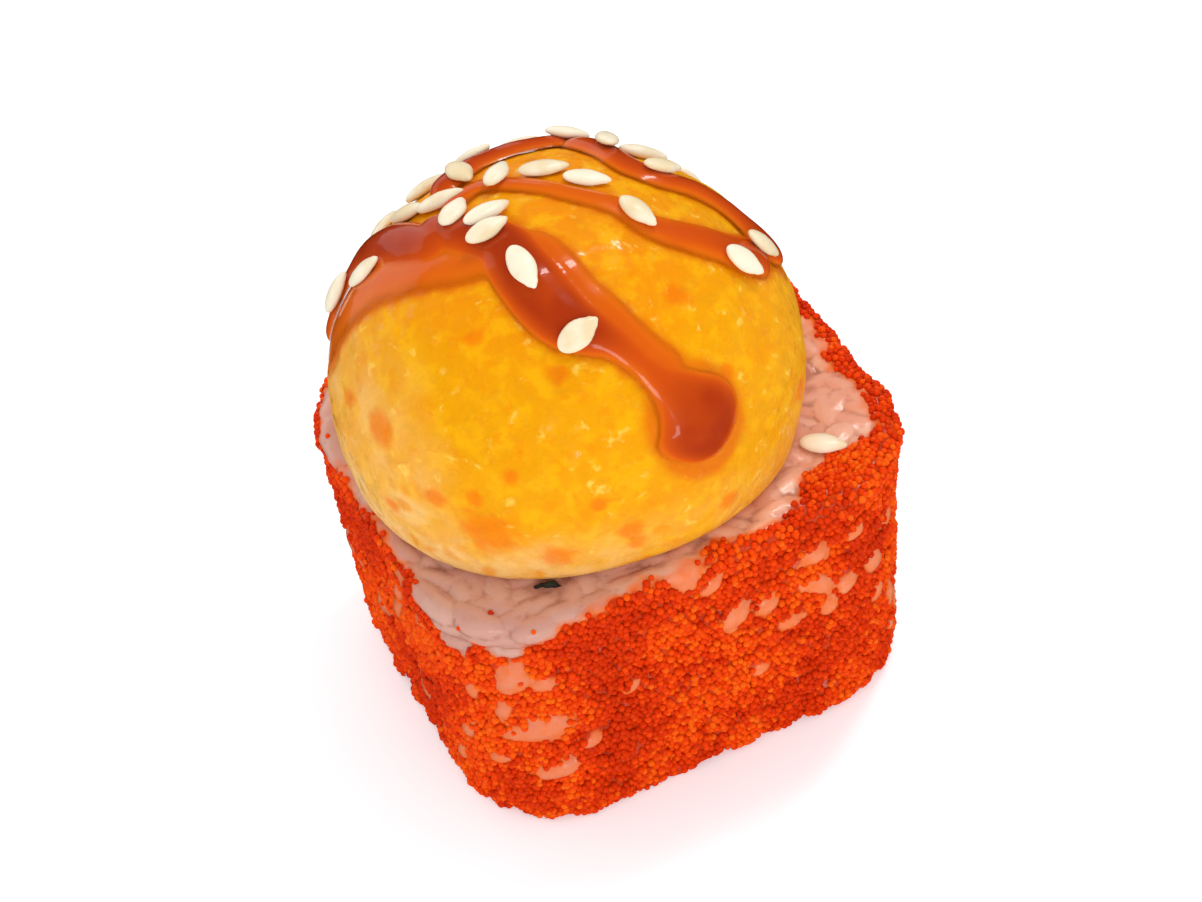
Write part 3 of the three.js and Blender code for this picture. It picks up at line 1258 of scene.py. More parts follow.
# The coat's upper edge: share of the way round, and climb in millimetres.
ROE_EDGE = (
    (0.016, 22.2), (0.043, 22.2), (0.07, 22.0), (0.12, 21.2), (0.18, 20.6), (0.25, 21.2),
    (0.33, 22.2), (0.40, 21.0), (0.47, 20.2), (0.52, 20.6), (0.567, 20.6), (0.597, 21.1),
    (0.624, 20.9), (0.640, 20.0), (0.650, 16.9), (0.664, 17.0), (0.674, 19.4), (0.692, 17.3),
    (0.710, 19.0), (0.726, 20.4), (0.749, 20.7), (0.767, 21.0), (0.793, 21.0), (0.825, 21.9),
    (0.838, 21.0), (0.864, 21.5), (0.889, 24.1), (0.925, 24.4), (0.945, 23.2), (0.968, 21.9),
)

# Where the nori's edge shows on the cut top: X, Y and length in millimetres, turn in degrees.
NORI_SLIVERS = (
    (-9.8, -12.5, 2.2, -24), (1.3, -13.0, 1.7, 4), (14.1, -2.3, 1.8, 88), (12.4, 9.6, 2.2, 125),
)

# Bare patches that show: share, climb, length and width in millimetres, and turn in degrees.
SHOWN_PATCHES = (
    (0.692, 15.6, 3.6, 2.2, 65), (0.712, 15.0, 2.0, 1.3, 10), (0.704, 10.2, 5.2, 2.3, 12),
    (0.683, 12.2, 2.2, 1.3, 70), (0.593, 6.4, 3.2, 1.8, -60), (0.651, 8.4, 2.2, 1.3, 60),
    (0.847, 14.0, 2.0, 1.5, 20), (0.879, 13.8, 3.2, 1.6, -35), (0.878, 17.0, 2.4, 1.7, 10),
    (0.922, 12.8, 2.2, 2.2, 80), (0.898, 12.6, 2.2, 1.4, 40), (0.827, 14.2, 3.0, 2.0, 20),
    (0.860, 11.4, 1.9, 1.3, 0), (0.885, 11.4, 2.1, 1.2, 60), (0.926, 9.4, 2.2, 1.3, 70),
    (0.711, 5.6, 4.2, 1.6, 10), (0.800, 20.3, 3.4, 2.2, 0), (0.815, 18.4, 2.0, 1.2, 40),
    (0.610, 19.4, 2.6, 1.8, 80), (0.625, 17.4, 1.9, 1.2, 30), (0.664, 13.6, 1.8, 1.0, 80),
    (0.735, 8.0, 1.8, 1.0, 20), (0.762, 12.0, 1.4, 0.9, 50), (0.840, 8.0, 1.6, 0.9, 30),
    (0.636, 4.6, 2.0, 1.1, 60), (0.938, 15.6, 2.0, 1.3, 60), (0.905, 17.4, 1.6, 1.1, 10),
    (0.672, 6.6, 1.8, 1.0, 30), (0.574, 12.4, 2.4, 1.4, 70), (0.588, 15.8, 2.0, 1.2, 40),
)


@dataclass
class Slice:
    """The rice and its coat of roe, grain by grain and bead by bead."""

    form: SliceForm = field(default_factory=SliceForm)
    patches: list[Patch] = field(default_factory=list)
    drop_from: float = 3.0 * MM

    # The core of the rice, its skin, and how they are pressed together with the grains.
    core_inset: float = 1.05 * MM
    core_sunk: float = 0.6 * MM
    core_foot: float = 1.5 * MM
    core_brim: float = 0.7 * MM
    hole_top: tuple[float, float] = (14.0 * MM, 13.0 * MM)
    hole_bottom: tuple[float, float] = (12.3 * MM, 11.3 * MM)
    skin: float = 0.5 * MM
    skin_margin: float = 0.4 * MM
    skin_sunk: float = 0.12 * MM
    skin_corner: float = 6.5 * MM
    close: float = 0.1 * MM
    voxel: float = 0.2 * MM
    smoothing: int = 1
    kept_faces: float = 0.42

    # Painted shade in the creases between the grains, and the stain that the roe leaves.
    crease_shade: float = 0.055 * MM
    crease_shade_reach: float = 0.25 * MM
    clean_foot: float = 0.5 * MM
    stain_edge: float = 0.7
    stain_fade: float = 0.45

    # Grains on the wall and the brim, in the patches and on the cut top.
    grain: tuple[float, float, float] = (4.8 * MM, 2.0 * MM, 1.7 * MM)
    grain_step: tuple[float, float] = (2.6 * MM, 1.7 * MM)
    grain_lift: float = 0.07 * MM
    proud: float = 0.58 * MM
    brim_band: float = 3.6 * MM
    brim_turn: float = 0.35
    patch_grain: tuple[float, float, float] = (2.6 * MM, 1.6 * MM, 1.7 * MM)
    patch_stretch: tuple[float, float] = (1.2, 1.15)
    patch_lift: float = 0.26 * MM
    top_grain: tuple[float, float, float] = (4.6 * MM, 1.9 * MM, 1.5 * MM)
    top_rings: tuple[float, ...] = (1.3 * MM, 2.4 * MM, 3.5 * MM, 4.6 * MM, 5.7 * MM, 6.8 * MM)
    top_step: float = 1.9 * MM
    top_levels: tuple[float, float] = (-0.12 * MM, 0.2 * MM)
    brim_margin: float = 0.6 * MM
    thin_past: float = 2.9 * MM
    thinness: float = 0.62

    # Slivers of nori.
    sliver: tuple[float, float, float] = (0.85, 0.28 * MM, 1.0 * MM)
    sliver_tip: tuple[float, float] = (0.3, 0.3 * MM)
    sliver_sunk: float = 0.3 * MM
    sliver_room: float = 1.2 * MM
    sliver_voxel: float = 0.1 * MM
    sliver_smoothing: int = 3
    sliver_wave: Wave = Wave(0.16 * MM, 0.5 * MM)

    # Bare patches on the far sides, drawn in groups, and what holds for all patches: the barest
    # that one gets for each millimetre of its width, and how quickly it gets there.
    patch_groups: int = 13
    patch_shares: tuple[float, float] = (-0.05, 0.57)
    patch_climbs: tuple[float, float] = (4.0 * MM, 18.0 * MM)
    patch_limits: tuple[float, float] = (2.0 * MM, 17.5 * MM)
    patch_lengths: tuple[float, float] = (1.2 * MM, 3.9 * MM)
    patch_spread: float = 2.3 * MM
    patch_bareness: float = 0.04
    patch_steepness: float = 2.5
    patch_waves: tuple[Wave, ...] = (Wave(0.5, 1.2 * MM, 9.0), Wave(0.4, 0.5 * MM, 3.0))

    # The coat of roe, its upper edge and its beads.
    coat_bottom: float = 0.45 * MM
    coat_past: float = 4.0 * MM
    edge_softness: float = 0.5 * MM
    edge_waves: tuple[Wave, ...] = (Wave(0.9 * MM, 2.4 * MM), Wave(0.5 * MM, 0.9 * MM, 5.0))
    bead: float = 0.57 * MM
    bead_sizes: tuple[float, float] = (0.8, 1.14)
    bead_step: float = 0.466 * MM
    row_step: float = 0.87
    stray: float = 0.02
    stray_past: float = 1.0 * MM
    shade_wave: Wave = Wave(0.6, 5.0 * MM, 2.0)
    shade_spread: float = 0.25
    random: np.random.Generator = field(default_factory=lambda: np.random.default_rng(7))

    def build(self) -> None:
        """Builds and dresses the rice, the roe and the slivers of nori."""
        self.patches = self._patches()
        rice = self._rice()
        dress(rice, RiceFinish().material(), "sushi_rice", "rice")
        self._roe(surface_of([rice]))
        dress(self._nori_edges(), NoriFinish().material(), "nori")

    def _patches(self) -> list[Patch]:
        """Gathers the bare patches: those that show, and others like them on the far sides.

        Returns:
            The patches.
        """
        found = [
            Patch(share, climb * MM, length * MM, width * MM, math.radians(turn))
            for share, climb, length, width, turn in SHOWN_PATCHES
        ]
        for _ in range(self.patch_groups):
            middle = self.random.uniform(*self.patch_shares)
            height = self.random.uniform(*self.patch_climbs)
            for _ in range(self.random.integers(2, 6)):
                share = middle + self.random.normal(0, self.patch_spread) / self.form.around
                climb = height + self.random.normal(0, self.patch_spread)
                climb = float(np.clip(climb, *self.patch_limits))
                length = self.random.uniform(*self.patch_lengths)
                width = length * self.random.uniform(0.35, 0.75)
                found.append(Patch(share, climb, length, width, self.random.uniform(0, math.pi)))
        return found

    def _bareness(self, points: Array, share: Array, climb: Array) -> Array:
        """Finds how bare the form is: roe covers it below 0, and only stray beads lie above 0.

        Args:
            points: points on it.
            share: their shares of the way round.
            climb: their climbs.

        Returns:
            A number for each point.
        """
        edge = np.interp(share % 1.0, *np.array(ROE_EDGE).T, period=1.0) * MM
        wander = sum(wave.at(points) for wave in self.edge_waves)
        bare = (climb + wander - edge) / self.edge_softness
        rough = sum(wave.at(points) for wave in self.patch_waves)
        for patch in self.patches:
            sideways = ((share - patch.share + 0.5) % 1.0 - 0.5) * self.form.around
            inside = 1.0 - patch.reach(sideways, climb - patch.climb) - rough
            barest = self.patch_bareness * patch.width / MM
            bare = np.maximum(bare, np.minimum(inside * self.patch_steepness, barest))
        return bare

    def _rice(self) -> bpy.types.Object:
        """Lays grains of rice on a core and presses them together into one moist mass.

        Returns:
            The rice.
        """
        core, skin = self._core(), self._skin()
        shape, copies = self._grain_shape(), Copies()
        surface = surface_of([core])
        self._lay_wall(surface, copies)
        self._lay_patches(surface, copies)
        self._lay_top(copies)
        grains = copies.build("loose_grains", shape)
        loose = surface_of([grains])
        tones = np.repeat(copies.tones, len(triangles_of(shape)))
        bpy.data.objects.remove(shape)
        parts = [core, skin, grains]
        rice = pressed("rice_grains", parts, self.voxel, self.smoothing, self.kept_faces)
        points = points_of(rice)
        points[:, 2] = np.maximum(points[:, 2], 0.0)
        move_points(rice, points)
        self._mark_rice(rice, loose, tones)
        return rice

    def _mark_rice(self, rice: bpy.types.Object, grains: BVHTree, tones: Array) -> None:
        """Stores the tone, the painted shade of the creases and the stain at each point of the
        rice.

        Args:
            rice: the pressed rice.
            grains: the grains before they were pressed.
            tones: the tone of each of their faces.
        """
        points = points_of(rice)
        hits = [grains.find_nearest(Vector(point)) for point in points]
        add_numbers(rice, "tone", tones[[face for _, _, face, _ in hits]])
        # Painted shade: how deep a point lies in a crease between grains sets how dark it is
        # painted.
        pairs = zip(points, hits)
        above = np.array([(Vector(point) - spot).dot(out) for point, (spot, out, _, _) in pairs])
        near = np.clip(2 - above / self.crease_shade_reach, 0, 1) * (points[:, 2] > self.clean_foot)
        add_numbers(rice, "crease_shade", near * np.clip(above / self.crease_shade, 0, 1))
        bare = self._bareness(points, *self.form.locate(points))
        add_numbers(rice, "stain", np.clip(self.stain_edge - self.stain_fade * bare, 0, 1))

    def _skin(self) -> bpy.types.Object:
        """Makes a thin sheet of rice over the tops of the nori and the filling.

        Returns:
            The sheet.
        """
        begin()
        bpy.ops.mesh.primitive_cube_add(size=2)
        sheet = Shaper("rice_skin").pick_all()
        long, wide = (reach + self.skin_margin for reach in self.hole_top)
        middle = self.form.height - self.skin_sunk - self.skin / 2
        sheet.resize((long, wide, self.skin / 2)).move((0, 0, middle))
        sheet.pick(Pick.EDGES, lambda spot: abs(spot.z - middle) < self.close)
        return sheet.bevel(self.skin_corner, 8).close().object

    def _core(self) -> bpy.types.Object:
        """Makes the solid body of the rice, a block with the nori's hole down its middle.

        Returns:
            The block.
        """
        form, inset, close = self.form, self.core_inset, self.close
        half_x, half_y = form.half_x - inset, form.half_y - inset
        top = form.height - self.core_sunk
        begin()
        bpy.ops.mesh.primitive_cube_add(size=2)
        block = Shaper("rice_core").pick_all()
        block.resize((half_x, half_y, top / 2)).move((0, 0, top / 2))
        block.pick(Pick.EDGES, lambda middle: abs(middle.z - top / 2) < close)
        block.bevel(form.corner - inset, 12)
        block.pick(Pick.FACES, lambda middle: middle.z < close)
        block.resize((1 - form.taper / half_x, 1 - form.taper / half_y, 1))
        block.pick(Pick.EDGES, lambda middle: middle.z < close).bevel(self.core_foot, 3)
        block.pick(Pick.EDGES, lambda middle: middle.z > top - close).bevel(self.core_brim, 2)
        for level, hole in ((0.0, self.hole_bottom), (top, self.hole_top)):
            self._pick_cap(block, level)
            bpy.ops.mesh.inset(thickness=1.0 * MM)
            reach = self._reach(block)
            block.resize((hole[0] / reach.x, hole[1] / reach.y, 1))
        block.pick(Pick.FACES, lambda middle: middle.xy.length < MM)
        bpy.ops.mesh.bridge_edge_loops()
        return block.close().object

    def _pick_cap(self, block: Shaper, level: float) -> None:
        """Selects the face that closes the block at a level."""
        centre = Vector((0, 0, level))
        block.pick(Pick.FACES, lambda middle: (middle - centre).length < self.close)

    @staticmethod
    def _reach(block: Shaper) -> Vector:
        """Measures how far the selected points reach.

        Args:
            block: the block.

        Returns:
            Their reach along each axis.
        """
        shape = bmesh.from_edit_mesh(block.object.data)
        chosen = [point.co for point in shape.verts if point.select]
        return Vector([max(point[axis] for point in chosen) for axis in range(3)])

    @staticmethod
    def _grain_shape() -> bpy.types.Object:
        """Makes one grain of rice, one unit long, wide and thick.

        Returns:
            The grain.
        """
        grain = ball("grain_shape", 10, 7).turn(-math.pi / 2, "Y")
        grain.pick(Pick.POINTS, lambda middle: abs(middle.x) < 0.36).resize((1, 1.12, 1.12))
        grain.pick(Pick.POINTS, lambda middle: middle.x > 0.3).resize((1, 0.82, 0.86))
        return grain.close().object

    def _lay_wall(self, surface: BVHTree, copies: Copies) -> None:
        """Lays grains flat on the wall and the brim.

        Args:
            surface: the core.
            copies: the grains so far, which these join.
        """
        form = self.form
        columns = round(form.around / self.grain_step[0])
        climbs = np.arange(1.0 * MM, form.height + 0.4 * MM, self.grain_step[1])
        spots = []
        for row, climb in enumerate(climbs):
            free = climb < form.height - self.brim_band
            steepest = math.pi / 2 if free else self.brim_turn
            for column in range(columns):
                share = (column + 0.5 * (row % 2) + self.random.uniform(-0.3, 0.3)) / columns
                height = climb + self.random.uniform(-0.25, 0.25) * self.grain_step[1]
                spots.append((share, height, self.random.uniform(-steepest, steepest)))
        shares, heights, turns = np.array(spots).T
        for place, out, turn in zip(*form.point(shares, heights), turns):
            size = np.array(self.grain) * self.random.uniform(0.88, 1.1, 3)
            lift = self.random.uniform(-self.grain_lift, self.grain_lift)
            tone = self.random.uniform(0, 1)
            self._lay_grain(surface, copies, (place, out, turn), size, lift, tone)

    def _lay_patches(self, surface: BVHTree, copies: Copies) -> None:
        """Lays a grain in each bare patch, which stands out further than those on the wall.

        Args:
            surface: the core.
            copies: the grains so far, which these join.
        """
        shares = np.array([patch.share for patch in self.patches])
        heights = np.array([patch.climb for patch in self.patches])
        for place, out, patch in zip(*self.form.point(shares, heights), self.patches):
            long = max(self.patch_stretch[0] * patch.length, self.patch_grain[0])
            wide = max(self.patch_stretch[1] * patch.width, self.patch_grain[1])
            size = np.array([long, wide, self.patch_grain[2]])
            tone = self.random.uniform(0.2, 1.0)
            self._lay_grain(surface, copies, (place, out, patch.turn), size, self.patch_lift, tone)

    def _lay_grain(
        self,
        surface: BVHTree,
        copies: Copies,
        spot: tuple[Array, Array, float],
        size: Array,
        lift: float,
        tone: float,
    ) -> None:
        """Lays one grain flat on the core.

        Args:
            surface: the core.
            copies: the grains so far, which this one joins.
            spot: a point near the surface, the direction that faces out, and the grain's turn.
            size: the grain's length, width and thickness.
            lift: how much further than others it stands out.
            tone: a number from 0 to 1 that its colour reads.
        """
        place, out, turn = spot
        landing = drop(surface, place, out, self.drop_from)
        if landing is None:
            return
        level = unit(np.array([-out[1], out[0], 0.0]))
        rise = np.cross(out, level)
        along = level * math.cos(turn) + rise * math.sin(turn)
        along = along + out * self.random.uniform(-0.04, 0.04)
        depth = size[2] / 2 - self.proud - lift
        copies.add(landing[0] - out * depth, out, along, size, tone)

    def _lay_top(self, copies: Copies) -> None:
        """Lays grains flat on the cut top, over the nori too but for its bare spots.

        Args:
            copies: the grains so far, which these join.
        """
        form = self.form
        slivers = np.array(NORI_SLIVERS)[:, :2] * MM
        for ring in self.top_rings:
            count = round((form.around - 2 * math.pi * ring) / self.top_step)
            shares = (np.arange(count) + self.random.uniform(-0.3, 0.3, count)) / count
            insets = ring + self.random.uniform(-0.3, 0.3, count) * MM
            ahead = form.ahead(shares, insets)
            headings = np.arctan2(ahead[:, 1], ahead[:, 0])
            for spot, inset, heading in zip(form.outline(shares, insets), insets, headings):
                size = np.array(self.top_grain) * self.random.uniform(0.86, 1.12, 3)
                if ring > self.thin_past:
                    size[2] *= self.thinness
                free = min(max(inset - self.brim_margin, 0.0) / (size[0] / 2), 1.0)
                turn = heading + self.random.uniform(-1, 1) * math.asin(free)
                z = form.height + self.random.uniform(*self.top_levels) - size[2] / 2
                tone = self.random.uniform(0, 1)
                if np.linalg.norm(slivers - spot, axis=1).min() < self.sliver_room:
                    continue
                lean = self.random.uniform(-0.05, 0.05, 2)
                along = np.array([math.cos(turn), math.sin(turn), 0.0])
                copies.add(np.array([*spot, z]), np.array([*lean, 1.0]), along, size, tone)

    def _nori_edges(self) -> bpy.types.Object:
        """Makes slivers of the nori's edge that stand out of the rice.

        Returns:
            The slivers, as one piece.
        """
        begin()
        slivers = []
        share, width, height = self.sliver
        for number, (x, y, length, turn) in enumerate(NORI_SLIVERS):
            bpy.ops.mesh.primitive_cube_add(size=1)
            sliver = Shaper(f"sliver_{number}").pick_all()
            sliver.resize((share * length * MM, width, height))
            bpy.ops.mesh.subdivide(number_cuts=4)
            beside, above = self.sliver_tip[0] * length * MM, self.sliver_tip[1]
            sliver.pick(Pick.POINTS, lambda spot: spot.z > above and abs(spot.x) > beside)
            sliver.resize((0.9, 0.5, 0.5)).pick_all().turn(math.radians(turn), "Z")
            sliver.move((x * MM, y * MM, self.form.height - self.sliver_sunk))
            slivers.append(sliver.close().object)
        edges = pressed("nori_edges", slivers, self.sliver_voxel, self.sliver_smoothing)
        points = points_of(edges)
        points += normals_of(edges) * self.sliver_wave.at(points)[:, None]
        move_points(edges, points)
        return edges

    @staticmethod
    def _bead_shape() -> bpy.types.Object:
        """Makes one bead of roe, one unit across, cut flat where it is sunk.

        Returns:
            The bead.
        """
        return ball("bead_shape", 8, 4).cut(-1e-4).close().object

    def _roe(self, surface: BVHTree) -> None:
        """Builds and dresses the beads of roe, in three shades with bare patches between them.

        Args:
            surface: the rice.
        """
        form = self.form
        columns = round(form.around / self.bead_step)
        top = form.height + self.coat_past
        climbs = np.arange(self.coat_bottom, top, self.row_step * self.bead_step)
        rows, cells = np.divmod(np.arange(len(climbs) * columns), columns)
        jitter = self.random.uniform(-0.3, 0.3, (2, rows.size))
        share = (cells + 0.5 * (rows % 2) + jitter[0]) / columns
        climb = climbs[rows] + jitter[1] * self.bead_step
        places, outs = form.point(share, climb)
        bare = self._bareness(places, share, climb)
        spread = self.random.uniform(-self.shade_spread, self.shade_spread, len(places))
        shade = 0.5 + self.shade_wave.at(places) + spread
        luck = self.random.uniform(0, 1, len(places))
        sizes = self.bead * self.random.uniform(*self.bead_sizes, len(places))
        sizes *= 1 - 0.3 * np.clip(0.6 + bare, 0, 1)
        strays = (luck < self.stray) & (climb < form.height + self.stray_past)
        kept = (bare < 0) | strays
        third, two_thirds = np.quantile(shade[kept], (1 / 3, 2 / 3))
        bounds = (math.inf, two_thirds, third, -math.inf)
        shape = self._bead_shape()
        for finish, high, low in zip(ROE_SHADES, bounds, bounds[1:]):
            chosen = kept & (shade > low) & (shade <= high)
            beads = self._lay_beads(surface, places[chosen], outs[chosen], sizes[chosen])
            dress(beads.build(finish.name, shape), finish.material(), "fish_roe", "roe_coat")
        bpy.data.objects.remove(shape)

    def _lay_beads(self, surface: BVHTree, places: Array, outs: Array, sizes: Array) -> Copies:
        """Drops beads on the rice.

        Args:
            surface: the rice.
            places: points near it.
            outs: the directions that face out there.
            sizes: how far across the beads are.

        Returns:
            The beads.
        """
        beads = Copies()
        for place, out, size in zip(places, outs, sizes):
            landing = drop(surface, place, out, self.drop_from)
            if landing is None:
                continue
            spot, normal = landing
            facing = unit(normal + 1.5 * out)
            centre = spot + out * self.random.uniform(-0.15, 0.25) * size / 2
            centre[2] = max(centre[2], size / 2)
            sideways = np.cross(facing, [0.3, 0.5, 0.8])
            beads.add(centre, facing, sideways, np.full(3, size), self.random.uniform(0, 1))
        return beads


# ------------------------------------------------------------------------------------------------
# The topping
# ------------------------------------------------------------------------------------------------


@dataclass(frozen=True)
class Streak:
    """A streak of drizzle: its course over the dome, as bearings and tilts in degrees with the
    width and the height there in millimetres."""

    course: tuple[tuple[float, float, float, float], ...]


# The main streak and the thin sauce beside it, the left streak and its thin sauce, the upper one,
# the one on the right, and one behind.
DRIZZLE = (
    Streak((
        (145, 32, 3.4, 0.8), (157, 24, 3.6, 0.85), (176, 17, 3.9, 0.9), (-153, 15, 4.2, 0.95),
        (-133, 19, 4.5, 1.0), (-121, 24, 4.7, 1.05), (-112, 30, 4.7, 1.05), (-105, 35, 4.3, 1.0),
        (-98, 39, 3.5, 0.85), (-92, 43, 2.8, 0.6), (-87, 49, 2.5, 0.45), (-83, 56, 3.0, 0.5),
        (-80, 62, 4.6, 0.75), (-78, 68, 6.8, 1.05), (-77, 75, 7.4, 1.15), (-76.5, 83, 6.6, 1.05),
    )),
    Streak((
        (-150, 12, 1.8, 0.3), (-118, 13, 2.4, 0.34), (-103, 20, 2.8, 0.36), (-96, 28, 2.8, 0.36),
        (-90, 35, 2.9, 0.36), (-86, 43, 3.0, 0.36), (-82, 50, 3.0, 0.34), (-77, 58, 3.0, 0.32),
    )),
    Streak((
        (171, 24, 3.2, 0.8), (155, 33, 3.8, 0.95), (143, 44, 4.0, 1.0), (138, 56, 3.6, 0.9),
        (144, 68, 2.6, 0.7), (150, 78, 1.8, 0.5),
    )),
    Streak((
        (-138, 18, 2.4, 0.25), (-158, 21, 3.0, 0.3), (-173, 26, 3.6, 0.32), (170, 35, 4.2, 0.34),
        (159, 47, 5.0, 0.34), (157, 58, 5.2, 0.32), (158, 68, 4.6, 0.28), (160, 76, 3.4, 0.2),
    )),
    Streak((
        (140, 26, 2.4, 0.5), (116, 22, 2.5, 0.42), (99, 13, 2.2, 0.38), (39, 6, 2.0, 0.34),
        (-14, 11, 2.2, 0.36), (-28, 18, 2.4, 0.36), (-38, 26, 2.7, 0.4), (-36, 34, 3.0, 0.45),
        (-33, 42, 3.2, 0.5), (-29, 51, 3.7, 0.6), (-22, 60, 3.9, 0.75),
    )),
    Streak((
        (60, 40, 3.3, 0.8), (42, 33, 3.1, 0.75), (22, 28, 2.9, 0.65), (6, 31, 2.9, 0.6),
        (-1, 40, 3.1, 0.6), (-6, 49, 3.3, 0.6), (-13, 58, 3.7, 0.75), (-19, 67, 4.1, 0.9),
    )),
    Streak((
        (125, 32, 2.8, 0.8), (108, 34, 2.8, 0.9), (88, 38, 3.0, 0.9), (64, 42, 3.0, 0.9),
        (70, 57, 2.8, 0.8), (84, 70, 3.2, 0.9),
    )),
)

# Each seed's bearing, tilt and turn on the dome, in degrees.
DOME_SEEDS = (
    (146, 64, -28), (151, 50, -39), (126, 54, 30), (130, 40, -60), (112, 46, 10), (129, 29, -30),
    (110, 30, -86), (104, 18, 52), (150, 21, 45), (163, 13, 8), (-168, 15, 0), (-125, 22, -89),
    (-103, 39, 17), (-35, 22, -67), (20, 14, -30), (60, 41, -25), (41, 34, 76), (29, 40, -5),
    (8, 33, 7), (78, 43, -30), (95, 41, -30), (-35, 50, -39), (-22, 56, -28), (67, 15, -22),
    (84, 66, 80), (60, 60, 20), (118, 66, -30), (100, 80, 60), (30, 70, 50),
)

# Orange specks in the baked sauce: bearing and tilt in degrees, width in millimetres.
SPECKS = (
    (-133, 92, 3.4), (-117, 99, 2.0), (-99, 96, 1.7), (-142, 39, 1.2), (-111, 47, 1.4),
    (-90, 48, 1.8), (-165, 71, 2.2), (-62, 41, 1.7), (-64, 65, 1.2), (-147, 85, 1.5),
    (-136, 82, 1.2), (-180, 71, 1.3), (-162, 94, 1.1), (-126, 74, 1.1), (-106, 84, 1.1),
    (-73, 99, 1.3), (-98, 100, 1.2), (-40, 92, 1.6), (-18, 84, 1.1), (12, 94, 2.2), (48, 88, 1.3),
    (76, 97, 2.6), (102, 86, 1.4), (131, 95, 1.8), (160, 90, 1.2), (60, 70, 1.2), (30, 58, 1.3),
)


@dataclass(frozen=True)
class DomeForm:
    """Form of the dome: an ellipsoid that is taller above its widest level than below it."""

    centre: tuple[float, float] = (-1.9 * MM, -0.4 * MM)
    half_x: float = 16.0 * MM
    half_y: float = 15.0 * MM
    crown: float = 14.0 * MM
    drop: float = 19.0 * MM
    belly: float = 5.8 * MM
    base: float = 21.3 * MM
    sway: float = 0.3 * MM
    ripple_starts: tuple[float, float] = (2.6, 5.98)
    ripple_rise: float = 20.0
    lumps: tuple[Wave, ...] = (Wave(0.20 * MM, 5.5 * MM, 1.0), Wave(0.09 * MM, 2.0 * MM, 2.0))

    @property
    def middle(self) -> Array:
        """Middle of the widest level."""
        return np.array([*self.centre, self.base + self.belly])

    def size(self, way: Array) -> Array:
        """Finds how far the dome reaches along X, Y and Z.

        Args:
            way: directions, because it reaches further down than up.

        Returns:
            A row for each direction.
        """
        reach = np.tile([self.half_x, self.half_y, self.crown], (len(way), 1))
        reach[way[:, 2] <= 0, 2] = self.drop
        return reach

    def way(self, bearing: Array, tilt: Array) -> Array:
        """Directions of bearings and tilts, in degrees, before the dome is stretched."""
        turn, lean = np.radians(bearing), np.radians(tilt)
        return np.stack([np.sin(lean) * np.cos(turn), np.sin(lean) * np.sin(turn), np.cos(lean)], 1)

    def swell(self, way: Array) -> Array:
        """Finds the slow unevenness of the dome.

        Args:
            way: directions, before the dome is stretched.

        Returns:
            A factor near 1 for each direction.
        """
        turn = np.arctan2(way[:, 1], way[:, 0])
        flank = np.hypot(way[:, 0], way[:, 1])
        wave = ripple(turn, self.ripple_rise * way[:, 2], self.ripple_starts)
        return 1 + (self.sway / self.half_x) * flank * wave

    def normal(self, way: Array) -> Array:
        """The outward normals in directions."""
        return unit(way / self.size(way))

    def point(self, way: Array) -> Array:
        """Points on the dome in directions."""
        return way * self.size(way) * self.swell(way)[:, None] + self.middle

    def way_to(self, points: Array) -> Array:
        """Directions, before the dome is stretched, of points near it."""
        away = points - self.middle
        return unit(away / self.size(away))

    def normal_at(self, points: Array) -> Array:
        """The dome's outward normals under points near it."""
        return self.normal(self.way_to(points))

    def depth(self, points: Array) -> Array:
        """How far points lie above the dome."""
        way = self.way_to(points)
        return ((points - self.point(way)) * self.normal(way)).sum(1)

    def relief(self, points: Array) -> Array:
        """How far the dome's lumps stand out at points near it."""
        return sum(wave.at(points) for wave in self.lumps)


def curve_through(knots: Array, shares: Array) -> Array:
    """Points on a smooth curve through knots.

    Args:
        knots: the points that the curve passes, one row each.
        shares: places along it, from 0 to 1.

    Returns:
        A row for each share.
    """
    padded = np.vstack([2 * knots[0] - knots[1], knots, 2 * knots[-1] - knots[-2]])
    place = np.clip(shares, 0, 1) * (len(knots) - 1)
    first = np.minimum(place.astype(int), len(knots) - 2)
    part = (place - first)[:, None]
    before, start, end, after = (padded[first + step] for step in range(4))
    slope_in, slope_out = (end - before) / 2, (after - start) / 2
    bend = 2 * (start - end) + slope_in + slope_out
    swing = 3 * (end - start) - 2 * slope_in - slope_out
    return start + part * (slope_in + part * (swing + part * bend))


